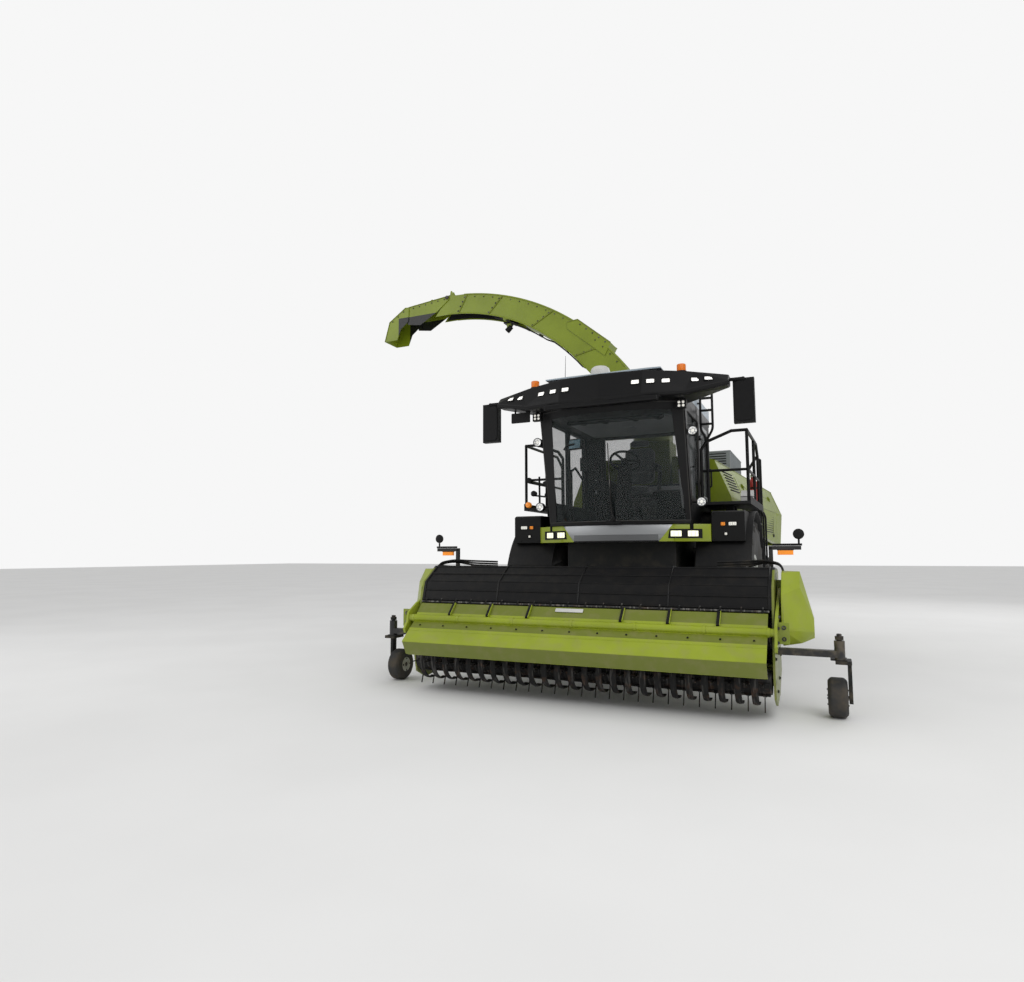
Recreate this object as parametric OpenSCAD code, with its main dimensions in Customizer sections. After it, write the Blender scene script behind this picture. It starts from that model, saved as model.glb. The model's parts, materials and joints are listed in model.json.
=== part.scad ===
// Self-propelled forage harvester with a windrow pickup header.
// The machine is modelled from its front axle: +X is forward, +Y its left side, +Z up, floor at z = 0.
// The whole model is then shifted so that the origin lies under the middle of its box.

/* [Wheels] */
// Distance from the front axle to the rear axle
wheelbase = 3100; // [3000:50:3300]
// Radius of the front tyres at the tips of their lugs
front_tyre_r = 980; // [940:10:1000]
// Width of the front tyres
front_tyre_w = 700; // [600:10:720]
// Distance from the centreline to the middle of a front tyre
front_wheel_y = 1210; // [1200:5:1230]
// Radius of the front rims at their flange
front_rim_r = 500; // [460:10:560]
// Radius of the rear tyres at the tips of their lugs
rear_tyre_r = 745; // [700:5:760]
// Width of the rear tyres
rear_tyre_w = 600; // [500:10:620]
// Distance from the centreline to the middle of a rear tyre
rear_wheel_y = 1200; // [1190:5:1240]
// Radius of the rear rims at their flange
rear_rim_r = 370; // [340:5:400]
// Height of the lugs on the tyres
lug_h = 42; // [30:1:50]

/* [Frame] */
// Height of the underside of the frame rails
rail_z = 1110; // [1105:5:1130]
// Height of a frame rail
rail_h = 220; // [200:5:230]
// Width of a frame rail
rail_w = 80; // [60:5:85]
// Distance from the centreline to the inner side of a rail
rail_y = 330; // [320:5:340]
// Rear end of the rails, behind the front axle
rail_rear = 4650; // [4600:10:4700]
// Diameter of the hitch pin's hole
hitch_bore_d = 34; // [30:1:40]
// Length of the engine block
engine_l = 1400; // [1200:50:1500]
// Width of the engine block
engine_w = 1100; // [900:20:1120]
// Height of the engine block
engine_h = 900; // [700:20:1000]

/* [Cab] */
// Width of the cab
cab_w = 1840; // [1800:10:1860]
// Height of the underside of the cab's floor
cab_z = 1800; // [1790:5:1810]
// Height of the top of the cab's frame
cab_top = 3300; // [3260:10:3340]
// Front of the cab at its floor
cab_front = 1050; // [1020:10:1080]
// How far the windscreen leans forward from floor to roof
cab_lean = 350; // [300:10:380]
// Rear face of the cab, behind the front axle
cab_rear = 450; // [440:5:470]
// Thickness of the cab's walls
cab_wall = 50; // [40:1:60]
// How far the windscreen bows out ahead of its pillars
screen_bow = 230; // [180:5:260]
// Thickness of the glass
glass_t = 8; // [6:1:10]
// Width of the door
door_w = 640; // [560:10:660]
// Height of the top of the roof
roof_top_z = 3720; // [3700:5:3740]
// Reach of the roof's wings from the centreline
wing_y = 1450; // [1400:10:1480]

/* [Platforms] */
// Height of the top of the platforms
deck_z = 2160; // [2140:5:2180]
// Distance from the centreline to the outer edge of a platform
deck_y = 1540; // [1520:5:1560]
// Height of the handrails above the platform
handrail_h = 900; // [850:10:950]
// Diameter of the handrail tubes
handrail_d = 40; // [30:2:46]

/* [Hood] */
// Rear face of the hood, behind the front axle
hood_rear = 4900; // [4860:10:4940]
// Half width of the hood at its rear, at its widest
hood_y = 1620; // [1580:10:1640]
// Height of the hood's crown at its rear
hood_z = 2850; // [2800:10:2880]
// Thickness of the hood's panels
hood_wall = 40; // [30:2:50]

/* [Spout] */
// Distance of the spout's turning axis behind the front axle
spout_x = 1000; // [990:5:1010]
// Height of the spout's slewing ring
ring_z = 3300; // [3290:5:3320]
// Radius of the slewing ring
ring_r = 300; // [280:5:310]
// Reach of the hinge that lifts the spout, from the turning axis
lift_r = 300; // [290:5:310]
// Height of the hinge that lifts the spout
lift_z = 3600; // [3590:5:3620]
// Width of the spout
spout_w = 340; // [320:5:360]
// Thickness of the spout's sheets
spout_t = 12; // [10:1:15]

/* [Header] */
// Working width between the header's end plates
header_w = 3760; // [3700:10:3780]
// Forward distance of the auger's axis from the front axle
auger_x = 2290; // [2280:5:2300]
// Height of the auger's axis
auger_z = 720; // [715:5:725]
// Radius of the auger's flights
auger_r = 260; // [250:5:270]
// Forward distance of the pickup reel's axis
reel_x = 2690; // [2680:5:2700]
// Height of the pickup reel's axis
reel_z = 340; // [335:5:350]
// Radius of the pickup reel at the tips of its tines
reel_r = 270; // [260:5:278]
// Radius of the gauge wheels
gauge_r = 180; // [170:5:190]
// Width of the gauge wheels
gauge_w = 170; // [140:5:180]
// Forward distance of the gauge wheels' swivel posts
gauge_x = 2420; // [2400:5:2440]
// Distance from the centreline to the swivel posts
gauge_y = 2430; // [2420:5:2440]

/* [Hidden] */

$fn = 48;
fit_gap = 0.05;
seat_gap = 0.3;
run_gap = 8;

// Shift of the machine's frame that puts the origin under the middle of its box
guard_front = 3110;
hitch_end = 4960;
spout_reach = 4925;
gauge_out_y = gauge_y + 95;
frame_x = (hitch_end - guard_front) / 2;
frame_y = (spout_reach - gauge_out_y) / 2;

rail_top = rail_z + rail_h;
rail_out = rail_y + rail_w;

// A flat bar or box between two corners
module block(low, high) {
    translate(low) cube(high - low);
}

// An outline in the XZ plane, as thick along Y as w, centred on y
module profile_y(w, y = 0) {
    translate([0, y + w / 2, 0]) rotate([90, 0, 0]) linear_extrude(height = w) children();
}

// A round bar from a to b
module bar(a, b, d) {
    v = b - a;
    translate(a) rotate([0, acos(v.z / norm(v)), atan2(v.y, v.x)]) cylinder(d = d, h = norm(v), $fn = 24);
}

// A bent tube through points, with a round knuckle at each bend
module rail(points, d) {
    for (i = [0 : len(points) - 2]) bar(points[i], points[i + 1], d);
    for (i = [1 : len(points) - 2]) translate(points[i]) sphere(d = d + 2, $fn = 24);
}

// The same thing on both sides of the machine
module both_sides() {
    children();
    mirror([0, 1, 0]) children();
}

// A cylinder along Y with its middle at y
module drum_y(r, w, y = 0) {
    translate([0, y + w / 2, 0]) rotate([90, 0, 0]) cylinder(r = r, h = w);
}

/* Wheels */

hub_r = 110;
hub_flange_r = 210;
disc_t = 25;

// One tyre lying on its side round the Z axis
module tyre(r, w, rim_r) {
    shoulder = 60;
    rotate_extrude($fn = 72) difference() {
        polygon([
            [rim_r, -w / 2 + shoulder], [rim_r + 90, -w / 2], [r - 160, -w / 2], [r - 30, -w / 2 + shoulder],
            [r, -w / 2 + 2 * shoulder], [r, w / 2 - 2 * shoulder], [r - 30, w / 2 - shoulder],
            [r - 160, w / 2], [rim_r + 90, w / 2], [rim_r, w / 2 - shoulder]
        ]);
    }
}

// One rim round the Z axis, its disc towards -Z where the hub is
module rim(rim_r, w, disc_z) {
    lip = 30;
    rotate_extrude($fn = 72) {
        polygon([
            [rim_r - lip, -w / 2 + 60], [rim_r - seat_gap, -w / 2 + 60], [rim_r - seat_gap, w / 2 - 60],
            [rim_r - lip, w / 2 - 60]
        ]);
        polygon([
            [hub_r + fit_gap, disc_z], [rim_r - lip, disc_z], [rim_r - lip, disc_z + disc_t],
            [hub_r + fit_gap, disc_z + disc_t]
        ]);
    }
}

front_disc_y = 1180;
rear_disc_y = 1130;

module front_tyre_at(side) {
    translate([0, side * front_wheel_y, front_tyre_r]) rotate([90, 0, 0])
        color([0.10, 0.10, 0.10]) tyre(front_tyre_r, front_tyre_w, front_rim_r);
}

module front_rim_at(side) {
    translate([0, side * front_wheel_y, front_tyre_r]) rotate([-side * 90, 0, 0])
        color([0.75, 0.76, 0.72]) rim(front_rim_r, front_tyre_w, front_disc_y - front_wheel_y);
}

module rear_tyre_at(side) {
    translate([-wheelbase, side * rear_wheel_y, rear_tyre_r]) rotate([90, 0, 0])
        color([0.10, 0.10, 0.10]) tyre(rear_tyre_r, rear_tyre_w, rear_rim_r);
}

module rear_rim_at(side) {
    translate([-wheelbase, side * rear_wheel_y, rear_tyre_r]) rotate([-side * 90, 0, 0])
        color([0.75, 0.76, 0.72]) rim(rear_rim_r, rear_tyre_w, rear_disc_y - rear_wheel_y);
}

/* Axles */

axle_h = 2 * (rail_z - front_tyre_r);
kingpin_y = 860;
kingpin_r = 35;
eye_r = 85;
eye_h = 220;
ear_t = 40;
rear_beam_h = 200;

module front_axle() color([0.20, 0.21, 0.20]) {
    block([-130, -760, rail_z - axle_h], [130, 760, rail_z]);
    both_sides() translate([0, 0, front_tyre_r]) {
        drum_y(170, 240, 880);
        drum_y(hub_flange_r, front_disc_y - 1000 - seat_gap, (front_disc_y + 1000 - seat_gap) / 2);
        drum_y(hub_r, disc_t + 60, front_disc_y + 30);
    }
}

module rear_axle() color([0.20, 0.21, 0.20]) {
    translate([-wheelbase, 0, 0]) {
        difference() {
            union() {
                block([-110, -kingpin_y, rear_tyre_r - rear_beam_h / 2], [110, kingpin_y, rear_tyre_r + rear_beam_h / 2]);
                both_sides() translate([0, kingpin_y, rear_tyre_r - eye_h / 2]) cylinder(r = eye_r, h = eye_h);
            }
            both_sides() {
                translate([0, kingpin_y, rear_tyre_r - eye_h]) cylinder(r = kingpin_r + fit_gap, h = 2 * eye_h);
                for (side = [-1, 1]) translate([side * 145, kingpin_y + 30, rear_tyre_r - eye_h])
                    cylinder(r = 105, h = 2 * eye_h);
            }
        }
        block([-110, -rail_out, rear_tyre_r + rear_beam_h / 2], [110, rail_out, rail_z]);
    }
}

module knuckle(side) color([0.20, 0.21, 0.20])
    translate([-wheelbase, side * kingpin_y, rear_tyre_r]) {
        cylinder(r = kingpin_r, h = eye_h + 4 * seat_gap + 2 * ear_t, center = true);
        for (flip = [-1, 1]) translate([0, 0, flip * (eye_h / 2 + run_gap + ear_t / 2)]) {
            cylinder(r = eye_r, h = ear_t, center = true);
            translate([0, side * 75, 0]) cube([150, 150, ear_t], center = true);
        }
        web = eye_h + 2 * run_gap + 2 * ear_t;
        translate([0, side * 135, 0]) cube([150, 50, web], center = true);
        flange = rear_disc_y - seat_gap - kingpin_y;
        translate([0, side * (160 + flange) / 2, 0]) rotate([90, 0, 0])
            cylinder(r = 130, h = flange - 160, center = true);
        translate([0, side * (flange + disc_t / 2 + 30), 0]) rotate([90, 0, 0])
            cylinder(r = hub_r, h = disc_t + 60, center = true);
    }

/* Frame and drive */

tower_front = spout_x - 250;
tower_rear = spout_x + 250;
engine_x = wheelbase - 850;

cab_base_y = 700;

module frame() color([0.16, 0.17, 0.16]) difference() {
    union() {
        both_sides() block([-rail_rear, rail_y, rail_z], [300, rail_out, rail_top]);
        for (x = [-rail_rear, -2150])
            block([x, -rail_y, rail_z], [x + 100, rail_y, rail_top]);
        // Base under the cab
        block([-cab_rear, -cab_base_y, rail_top], [cab_front - 50, cab_base_y, cab_z]);
        // Posts that carry the hood's front edge
        post_drop = 40 * (hood_low - sill_rear) / (hood_rear - hood_front) + seat_gap;
        both_sides() block([-hood_front - 40, rail_y, rail_top - 1], [-hood_front + 10, rail_out, hood_low - post_drop]);
        // Rear plate and the two ears of the hitch
        block([-rail_rear - 60, -rail_y, rail_z - 260], [-rail_rear, rail_y, rail_z + 100]);
        for (z = [rail_z - 240, rail_z - 100]) {
            block([-hitch_end + 80, -70, z], [-rail_rear - 60, 70, z + 40]);
            translate([-hitch_end + 80, 0, z]) cylinder(r = 70, h = 40);
        }
    }
    translate([-hitch_end + 80, 0, rail_z - 300]) cylinder(d = hitch_bore_d, h = 300);
}

module crop_duct() color([0.40, 0.47, 0.12]) {
    profile_y(2 * rail_y) polygon([
        [450, 600], [450, rail_top], [-tower_rear, rail_top], [-tower_rear, rail_z], [160, rail_z], [160, 600]
    ]);
    both_sides() translate([feeder_x, rail_y + 55, feeder_z]) rotate([90, 0, 0])
        cylinder(r = 40, h = 110, center = true);
    both_sides() block([300, rail_y - 60, feeder_z - 55], [feeder_x, rail_y, feeder_z + 55]);
    both_sides() translate([feeder_x, rail_y - 30, feeder_z]) drum_y(55, 60);
    both_sides() cross_pin(lift_low, 22, rail_y - 1, ram_y + 35);
    block([-tower_rear, -300, rail_top - 1], [-tower_front, 300, ring_z - 100]);
    translate([-spout_x, 0, ring_z - 101]) cylinder(r = ring_r, h = 101);
}

module engine() color([0.30, 0.31, 0.30]) {
    block([-engine_x - engine_l, -engine_w / 2, rail_top], [-engine_x, engine_w / 2, rail_top + engine_h]);
}

module fuel_tank() color([0.13, 0.13, 0.13]) both_sides() {
    block([-2080, rail_out, 700], [-1180, 1250, 1560]);
}

module radiator() color([0.12, 0.12, 0.12]) {
    block([-4640, -1050, rail_top], [-4480, 1050, 2600]);
    // Stay that carries the hood's rear wall
    block([-hood_rear + hood_wall + 1 + seat_gap, -200, 2570], [-4640, 200, 2600]);
    block([-4640, -200, 2590], [-4480, 200, 2620]);
}

/* Cab */

arch_r = front_tyre_r + 80;
arch_y = 800;
screen_low = cab_z + 95;
lean_angle = atan(cab_lean / (cab_top - cab_z));
pillar_w = 90;
door_x = 380;
door_z = deck_z + 15;
door_top = cab_top - 90;
door_gap = 6;
half_cab = cab_w / 2;

// Forward position of the cab's front plane at height z
function front_at(z) = cab_front + (z - cab_z) * cab_lean / (cab_top - cab_z);

// Side outline of the cab, its walls moved in by d
module cab_outline(d) polygon([
    [-cab_rear + d, cab_z + d], [front_at(cab_z + d) - d, cab_z + d], [front_at(cab_top - d) - d, cab_top - d],
    [-cab_rear + d, cab_top - d]
]);

// Outline of the side window ahead of the door
module front_light_outline(d) polygon([
    [door_x + 80 + d, door_z + d], [front_at(door_z) - 110 - d, door_z + d],
    [front_at(door_top) - 110 - d, door_top - d], [door_x + 80 + d, door_top - d]
]);

module cab_shell() difference() {
    union() {
        profile_y(cab_w) cab_outline(0);
        cowl();
    }
    profile_y(2 * (arch_y - cab_wall)) polygon([
        [-cab_rear + cab_wall, cab_z + 130], [cab_front, cab_z + 130], [cab_front, cab_z + 400],
        [-cab_rear + cab_wall, cab_z + 400]
    ]);
    profile_y(cab_w - 2 * cab_wall) polygon([
        [-cab_rear + cab_wall, arch_top], [front_at(arch_top) - 80, arch_top],
        [front_at(cab_top - cab_wall) - 80, cab_top - cab_wall], [-cab_rear + cab_wall, cab_top - cab_wall]
    ]);
    // Windscreen opening between the pillars
    block([cab_front - 450, -half_cab + pillar_w, cab_z + 130], [cab_front + 900, half_cab - pillar_w, cab_top - cab_wall]);
    // Wheel arches
    both_sides() translate([0, half_cab, front_tyre_r]) drum_y(arch_r, 2 * (half_cab - arch_y));
    // Door and side windows
    profile_y(2 * cab_wall, half_cab) square_at(door_x - door_w, door_z, door_x, door_top);
    profile_y(2 * cab_wall, -half_cab) square_at(door_x - door_w, door_z, door_x, door_top);
    both_sides() profile_y(2 * cab_wall, half_cab) front_light_outline(0);
    // Rear window
    block([-cab_rear - 50, -rear_light_y, rear_light_z], [-cab_rear + 100, rear_light_y, door_top]);
}

module cab_frame() color([0.09, 0.09, 0.09]) {
    cab_shell();
    on_cab_hinges() hinge_foot();
}

arch_top = cab_z + 330;
rear_light_y = 600;
rear_light_z = 2500;

// Hinge of a door round the Z axis, its outer face at y = -hinge_off: the door lies towards -X
hinge_off = 18;
hinge_pin_r = 8;

module door_eye(deep = 1) difference() {
    union() {
        cylinder(r = 16, h = 44);
        block([-46, -hinge_off - deep, 0], [0, -5, 44]);
    }
    translate([0, 0, -1]) cylinder(r = hinge_pin_r + fit_gap, h = 46);
}

module hinge_foot(deep = 1) {
    translate([0, 0, -22]) cylinder(r = 14, h = 22 - seat_gap);
    translate([0, 0, -22]) cylinder(r = hinge_pin_r, h = 68);
    block([0, -10, -22], [12, 10, -seat_gap]);
    block([10, -hinge_off - deep, -22], [50, 8, -seat_gap]);
}

// Places of the hinges on the cab, the rear door and the left hood door
module on_cab_hinges() for (z = [2420, 3000]) translate([door_x - 8, half_cab + hinge_off, z]) children();

module on_rear_hinges() for (z = [rear_door_low + 120, rear_door_high - 160])
    translate([-hood_rear - hinge_off, rear_door_y - 8, z]) rotate([0, 0, 90]) children();

module on_hood_hinges() {
    v = hinge_rear - hinge_front;
    for (t = [0.1, 0.5, 0.9]) translate(hinge_front + t * v)
        rotate([0, acos(v.z / norm(v)), atan2(v.y, v.x)]) rotate([0, 0, 180 - side_tilt]) children();
}

// A rectangle between two corners
module square_at(x0, y0, x1, y1) {
    translate([x0, y0]) square([x1 - x0, y1 - y0]);
}

screen_half = half_cab - 15;
screen_r = (screen_half * screen_half + screen_bow * screen_bow) / (2 * screen_bow);

// Plan of the bowed front, from its chord forward; grow moves the arc out
module bow_plan(grow) intersection() {
    translate([screen_bow - screen_r, 0]) circle(r = screen_r + grow, $fn = 180);
    translate([0, -screen_half]) square([2 * screen_bow, 2 * screen_half]);
}

// The rounded sill under the windscreen
module cowl() {
    translate([cab_front, 0, bar_high + 4]) linear_extrude(height = screen_low - bar_high - 4) bow_plan(glass_t + 20);
}

module windscreen() intersection() {
    translate([cab_front, 0, cab_z]) rotate([0, lean_angle, 0]) translate([seat_gap, 0, -100])
        linear_extrude(height = 1900) difference() {
            bow_plan(glass_t);
            translate([screen_bow - screen_r, 0]) circle(r = screen_r, $fn = 180);
        }
    block([cab_front, -cab_w, screen_low + seat_gap], [cab_front + 900, cab_w, cab_top - seat_gap]);
}

module cab_glass() color([0.35, 0.42, 0.45, 0.4]) {
    windscreen();
    pane_y = half_cab - 20;
    both_sides() profile_y(glass_t, pane_y) front_light_outline(seat_gap);
    profile_y(glass_t, -pane_y)
        square_at(door_x - door_w + seat_gap, door_z + seat_gap, door_x - seat_gap, door_top - seat_gap);
    block(
        [-cab_rear + 20, -rear_light_y + seat_gap, rear_light_z + seat_gap],
        [-cab_rear + 20 + glass_t, rear_light_y - seat_gap, door_top - seat_gap]
    );
}

module cab_door() color([0.12, 0.12, 0.12]) {
    low = door_x - door_w;
    on_cab_hinges() door_eye();
    difference() {
        profile_y(cab_wall, half_cab - cab_wall / 2)
            square_at(low + door_gap, door_z + door_gap, door_x - door_gap, door_top - door_gap);
        profile_y(2 * cab_wall, half_cab)
            square_at(low + 60, door_z + 90, door_x - 60, door_top - 60);
    }
    profile_y(glass_t, half_cab - 20)
        square_at(low + 60, door_z + 90, door_x - 60, door_top - 60);
}

module cab_roof() color([0.72, 0.76, 0.80]) {
    hull() {
        block([-cab_rear - 60, -half_cab, cab_top], [1190, half_cab, cab_top + 230]);
        block([-cab_rear + 60, -half_cab + 160, cab_top], [1190, half_cab - 160, roof_top_z - 40]);
    }
    hull() {
        block([-cab_rear + 80, -half_cab + 180, roof_top_z - 60], [1640, half_cab - 220, roof_top_z - 45]);
        block([-cab_rear + 280, -half_cab + 420, roof_top_z - 60], [1500, half_cab - 420, roof_top_z]);
    }
}

// Black visor across the front of the roof, in slabs from the middle out.
// Columns: distance from the centreline, rear edge, front edge, underside, top
visor_slabs = [
    [0, 1200, 1850, 0, 345],
    [500, 1200, 1820, 0, 340],
    [950, 1230, 1720, 0, 300],
    [wing_y - 10, 1400, 1590, 100, 230]
];

module visor_slab(s) {
    translate([0, s[0], cab_top]) rotate([90, 0, 0]) linear_extrude(height = 10, center = true) polygon([
        [s[1], s[3]], [s[2] - 20, s[3]], [s[2], s[3] + 40], [s[2] - 100, s[4]], [s[1], s[4]]
    ]);
}

module roof_visor() color([0.05, 0.05, 0.05]) {
    both_sides() for (i = [0 : len(visor_slabs) - 2]) hull() {
        visor_slab(visor_slabs[i]);
        visor_slab(visor_slabs[i + 1]);
    }
    block([1720, -700, cab_top - 55], [1830, 700, cab_top]);
}

mirror_x = 1430;
mirror_y = 1590;

module mirrors() color([0.06, 0.06, 0.06]) both_sides() {
    bar([1480, wing_y - 5, cab_top + 170], [1480, mirror_y, cab_top + 170], 40);
    translate([1480, mirror_y, cab_top + 170]) sphere(d = 46, $fn = 24);
    bar([1480, mirror_y, cab_top + 170], [mirror_x + 30, mirror_y, cab_top + 150], 36);
    block([mirror_x - 40, mirror_y - 115, 2970], [mirror_x + 40, mirror_y + 115, cab_top + 180]);
}

seat_x = 150;
floor_z = cab_z + 130;

module cab_interior() color([0.13, 0.13, 0.13]) {
    // Seat's base
    block([seat_x - 200, -230, floor_z], [seat_x + 200, 230, floor_z + 380]);
    controls();
}

module seat_cushions() color([0.20, 0.20, 0.21]) {
    block([seat_x - 240, -250, floor_z + 380 + seat_gap], [seat_x + 270, 250, floor_z + 500]);
    translate([seat_x - 240, 0, floor_z + 500 + seat_gap]) rotate([0, -8, 0])
        block([-40, -240, 0], [90, 240, 680]);
}

module controls() {
    // Steering column
    profile_y(160) polygon([
        [700, floor_z], [900, floor_z], [760, floor_z + 700], [660, floor_z + 760], [640, floor_z + 700]
    ]);
    translate([690, 0, floor_z + 790]) rotate([0, -35, 0]) {
        rotate_extrude($fn = 48) translate([190, 0]) circle(r = 16, $fn = 16);
        for (a = [90, 210, 330]) rotate([0, 0, a]) translate([0, -14, -8]) cube([190, 28, 16]);
        translate([0, 0, -60]) cylinder(r = 45, h = 80);
    }
    // Armrest with its lever and the screen at the driver's right
    block([seat_x - 200, -480, floor_z], [seat_x + 260, -300, floor_z + 560]);
    block([seat_x + 260, -470, floor_z + 440], [seat_x + 480, -310, floor_z + 560]);
    bar([seat_x + 380, -390, floor_z + 550], [seat_x + 400, -390, floor_z + 700], 50);
    block([seat_x + 460, -640, floor_z + 700], [seat_x + 490, -380, floor_z + 880]);
    bar([seat_x + 440, -440, floor_z + 500], [seat_x + 470, -500, floor_z + 720], 24);
}

/* Lamp bar under the cab */

bar_front = 1290;
bar_r = 1900;
bar_low = 1650;
bar_high = cab_z + 60;
bar_t = 60;

// Plan ring of the lamp bar between two distances from the centreline
module bar_plan(y0, y1) intersection() {
    translate([bar_front - bar_r, 0]) difference() {
        circle(r = bar_r, $fn = 180);
        circle(r = bar_r - bar_t, $fn = 180);
    }
    translate([0, y0]) square([bar_r, y1 - y0]);
}

module headlamp_bar() color([0.72, 0.73, 0.74]) {
    translate([0, 0, bar_low]) linear_extrude(height = bar_high - bar_low) bar_plan(-700, 700);
    block([cab_front - 50, -600, bar_low], [bar_front - 115, 600, cab_z - 2]);
}

module headlamps() color([0.60, 0.68, 0.12]) both_sides() difference() {
    translate([0, 0, bar_low]) linear_extrude(height = bar_high - bar_low) bar_plan(700, 1110);
    block([500, 0, cab_z - 2], [front_at(bar_high) + 6, half_cab + 6, bar_high + 10]);
    block([500, 0, bar_low - 10], [860, 1200, bar_high + 10]);
}

/* Platforms, fenders and rails */

deck_front = 500;
deck_rear = 1480;
deck_t = 40;

module platform() color([0.12, 0.12, 0.12]) {
    both_sides() deck();
    ladder();
}

module deck() {
    block([-600, half_cab, deck_z - deck_t], [deck_front, deck_y, deck_z]);
    block([-deck_rear, 1310, deck_z - deck_t], [-600, deck_y, deck_z]);
    block([-1120, rail_out, rail_top - 80], [-1060, 1500, rail_top]);
    block([-1120, 1440, rail_top], [-1060, 1500, deck_z - deck_t]);
}

fender_in = half_cab + 5;
fender_out = 1570;

fender_span = [20, 163];

module fenders() color([0.08, 0.08, 0.08]) both_sides() translate([0, 0, front_tyre_r]) {
    profile_y(fender_out - fender_in, (fender_in + fender_out) / 2) intersection() {
        difference() {
            circle(r = arch_r + 15, $fn = 120);
            circle(r = arch_r, $fn = 120);
        }
        polygon([
            [0, 0], 2000 * [cos(fender_span[0]), sin(fender_span[0])], [2000, 2000], [-2000, 2000],
            2000 * [cos(fender_span[1]), sin(fender_span[1])]
        ]);
    }
    // Hangers from the platform above
    for (x = [-200, 140]) profile_y(100, 1250) polygon([
        [x, arch_r - 30], [x + 60, arch_r - 30], [x + 60, deck_z - deck_t - front_tyre_r], [x, deck_z - deck_t - front_tyre_r]
    ]);
}

module handrails() color([0.10, 0.10, 0.10]) both_sides() {
    z = deck_z + handrail_h;
    y = deck_y - 25;
    rail([
        [deck_front - 30, 950, deck_z], [deck_front - 30, 950, z - 220], [deck_front - 30, 1020, z - 120],
        [deck_front - 30, 1330, z], [deck_front - 30, y, z], [-800, y, z], [-1020, y, z - 150], [-1020, y, deck_z]
    ], handrail_d);
    rail([[-1460, y, deck_z], [-1460, y, z - 150], [-1500, y - 60, z - 100], [-1500, 1330, z - 300]], handrail_d);
    bar([deck_front - 30, y, deck_z], [deck_front - 30, y, z], handrail_d);
    bar([-400, y, deck_z], [-400, y, z], handrail_d);
    rail([
        [deck_front - 30, 950, deck_z + 400], [deck_front - 30, y, deck_z + 400], [-1020, y, deck_z + 400]
    ], handrail_d - 6);
}

module ladder() {
    for (x = [-1450, -1100]) block([x, 1400, 560], [x + 30, 1520, deck_z - deck_t]);
    for (i = [0 : 4]) block([-1420, 1380, 600 + i * 330], [-1100, 1520, 630 + i * 330]);
}

/* Hood */

hood_front = 620;
hood_low = 1950;
sill_rear = 1650;

// Half width and height of the hood's waist and shoulder: at its front, then at its rear
waist = [[1180, 2300], [hood_y, 2250]];
shoulder = [[960, 2850], [hood_y - 180, 2690]];

function blend(a, b, t) = a + (b - a) * t;
function hood_t(x) = (-x - hood_front) / (hood_rear - hood_front);

// Distance of the hood's upper side from the centreline
function side_y(x, z) =
    let (w = blend(waist[0], waist[1], hood_t(x)), s = blend(shoulder[0], shoulder[1], hood_t(x)))
        blend(w.x, s.x, (z - w.y) / (s.y - w.y));

side_tilt = 22;
hinge_front = [-1600, side_y(-1600, 2560) + hinge_off / cos(side_tilt), 2560];
hinge_rear = [-4350, side_y(-4350, 2500) + hinge_off / cos(side_tilt), 2500];

// Cross-sections of the hood's left half, shrunk by d.
// Columns: distance behind the front axle, then (y, z) of sill, waist, shoulder and crown
module hood_loft(d) hull() {
    translate([-hood_front - d, 0, 0])
        hood_section(1220 - d, hood_low + d, waist[0].x - d, waist[0].y, shoulder[0].x - d, shoulder[0].y - d, 2930 - d);
    translate([-hood_rear + d, 0, 0])
        hood_section(hood_y - 40 - d, sill_rear + d, hood_y - d, waist[1].y, shoulder[1].x - d, shoulder[1].y - d, hood_z - d);
}

module hood_section(sill_y, sill_z, waist_y, waist_z, shoulder_y, shoulder_z, crown_z)
    rotate([90, 0, 90]) linear_extrude(height = 1) polygon([
        [-sill_y, sill_z], [sill_y, sill_z], [waist_y, waist_z], [shoulder_y, shoulder_z], [shoulder_y - 250, crown_z],
        [-shoulder_y + 250, crown_z], [-shoulder_y, shoulder_z], [-waist_y, waist_z]
    ]);

// The hood's shell, open below
module hood_shell() difference() {
    hood_loft(0);
    hood_loft(hood_wall);
    hull() {
        translate([-hood_front - 80, 0, 0]) rotate([90, 0, 90]) linear_extrude(height = 1)
            polygon([[-1140, 1900], [1140, 1900], [1140, 2100], [-1140, 2100]]);
        translate([-hood_rear + 60, 0, 0]) rotate([90, 0, 90]) linear_extrude(height = 1)
            polygon([[-1500, 1600], [1500, 1600], [1500, 1800], [-1500, 1800]]);
    }
}

// The space that the left engine door fills, its edges moved in by d
module hood_door_space(d) {
    hull() for (h = [hinge_front, hinge_rear]) translate([h.x, h.y, 0])
        block([-1, -420, 1400], [1, 500, h.z - d]);
}

module left_door_zone(d) intersection() {
    hood_door_space(d);
    block([hinge_rear.x + 50 + 2 * d, 900, 1400], [hinge_front.x - 50 - 2 * d, 2000, 2800]);
}

rear_door_y = 1200;
rear_door_low = 1780;
rear_door_high = 2560;

module hood() color([0.55, 0.64, 0.12]) {
    hood_panels();
    on_rear_hinges() hinge_foot();
    both_sides() on_hood_hinges() hinge_foot(8);
}

module hood_panels() difference() {
    union() {
        hood_shell();
        // Air box on top
        block([-3300, 520, hood_z - 30], [-1750, 1050, hood_z + 290]);
    }
    both_sides() left_door_zone(0);
    block([-hood_rear - 100, -rear_door_y, rear_door_low], [-hood_rear + 300, rear_door_y, rear_door_high]);
    hood_loft(hood_wall);
    // Clear of the discharge tower
    block([-tower_rear - 60, -360, 2000], [0, 360, 4000]);
}

module hood_door_left() color([0.55, 0.64, 0.12]) {
    intersection() {
        hood_shell();
        left_door_zone(door_gap);
    }
    on_hood_hinges() door_eye(8);
}

module hood_door_right() mirror([0, 1, 0]) hood_door_left();

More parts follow.
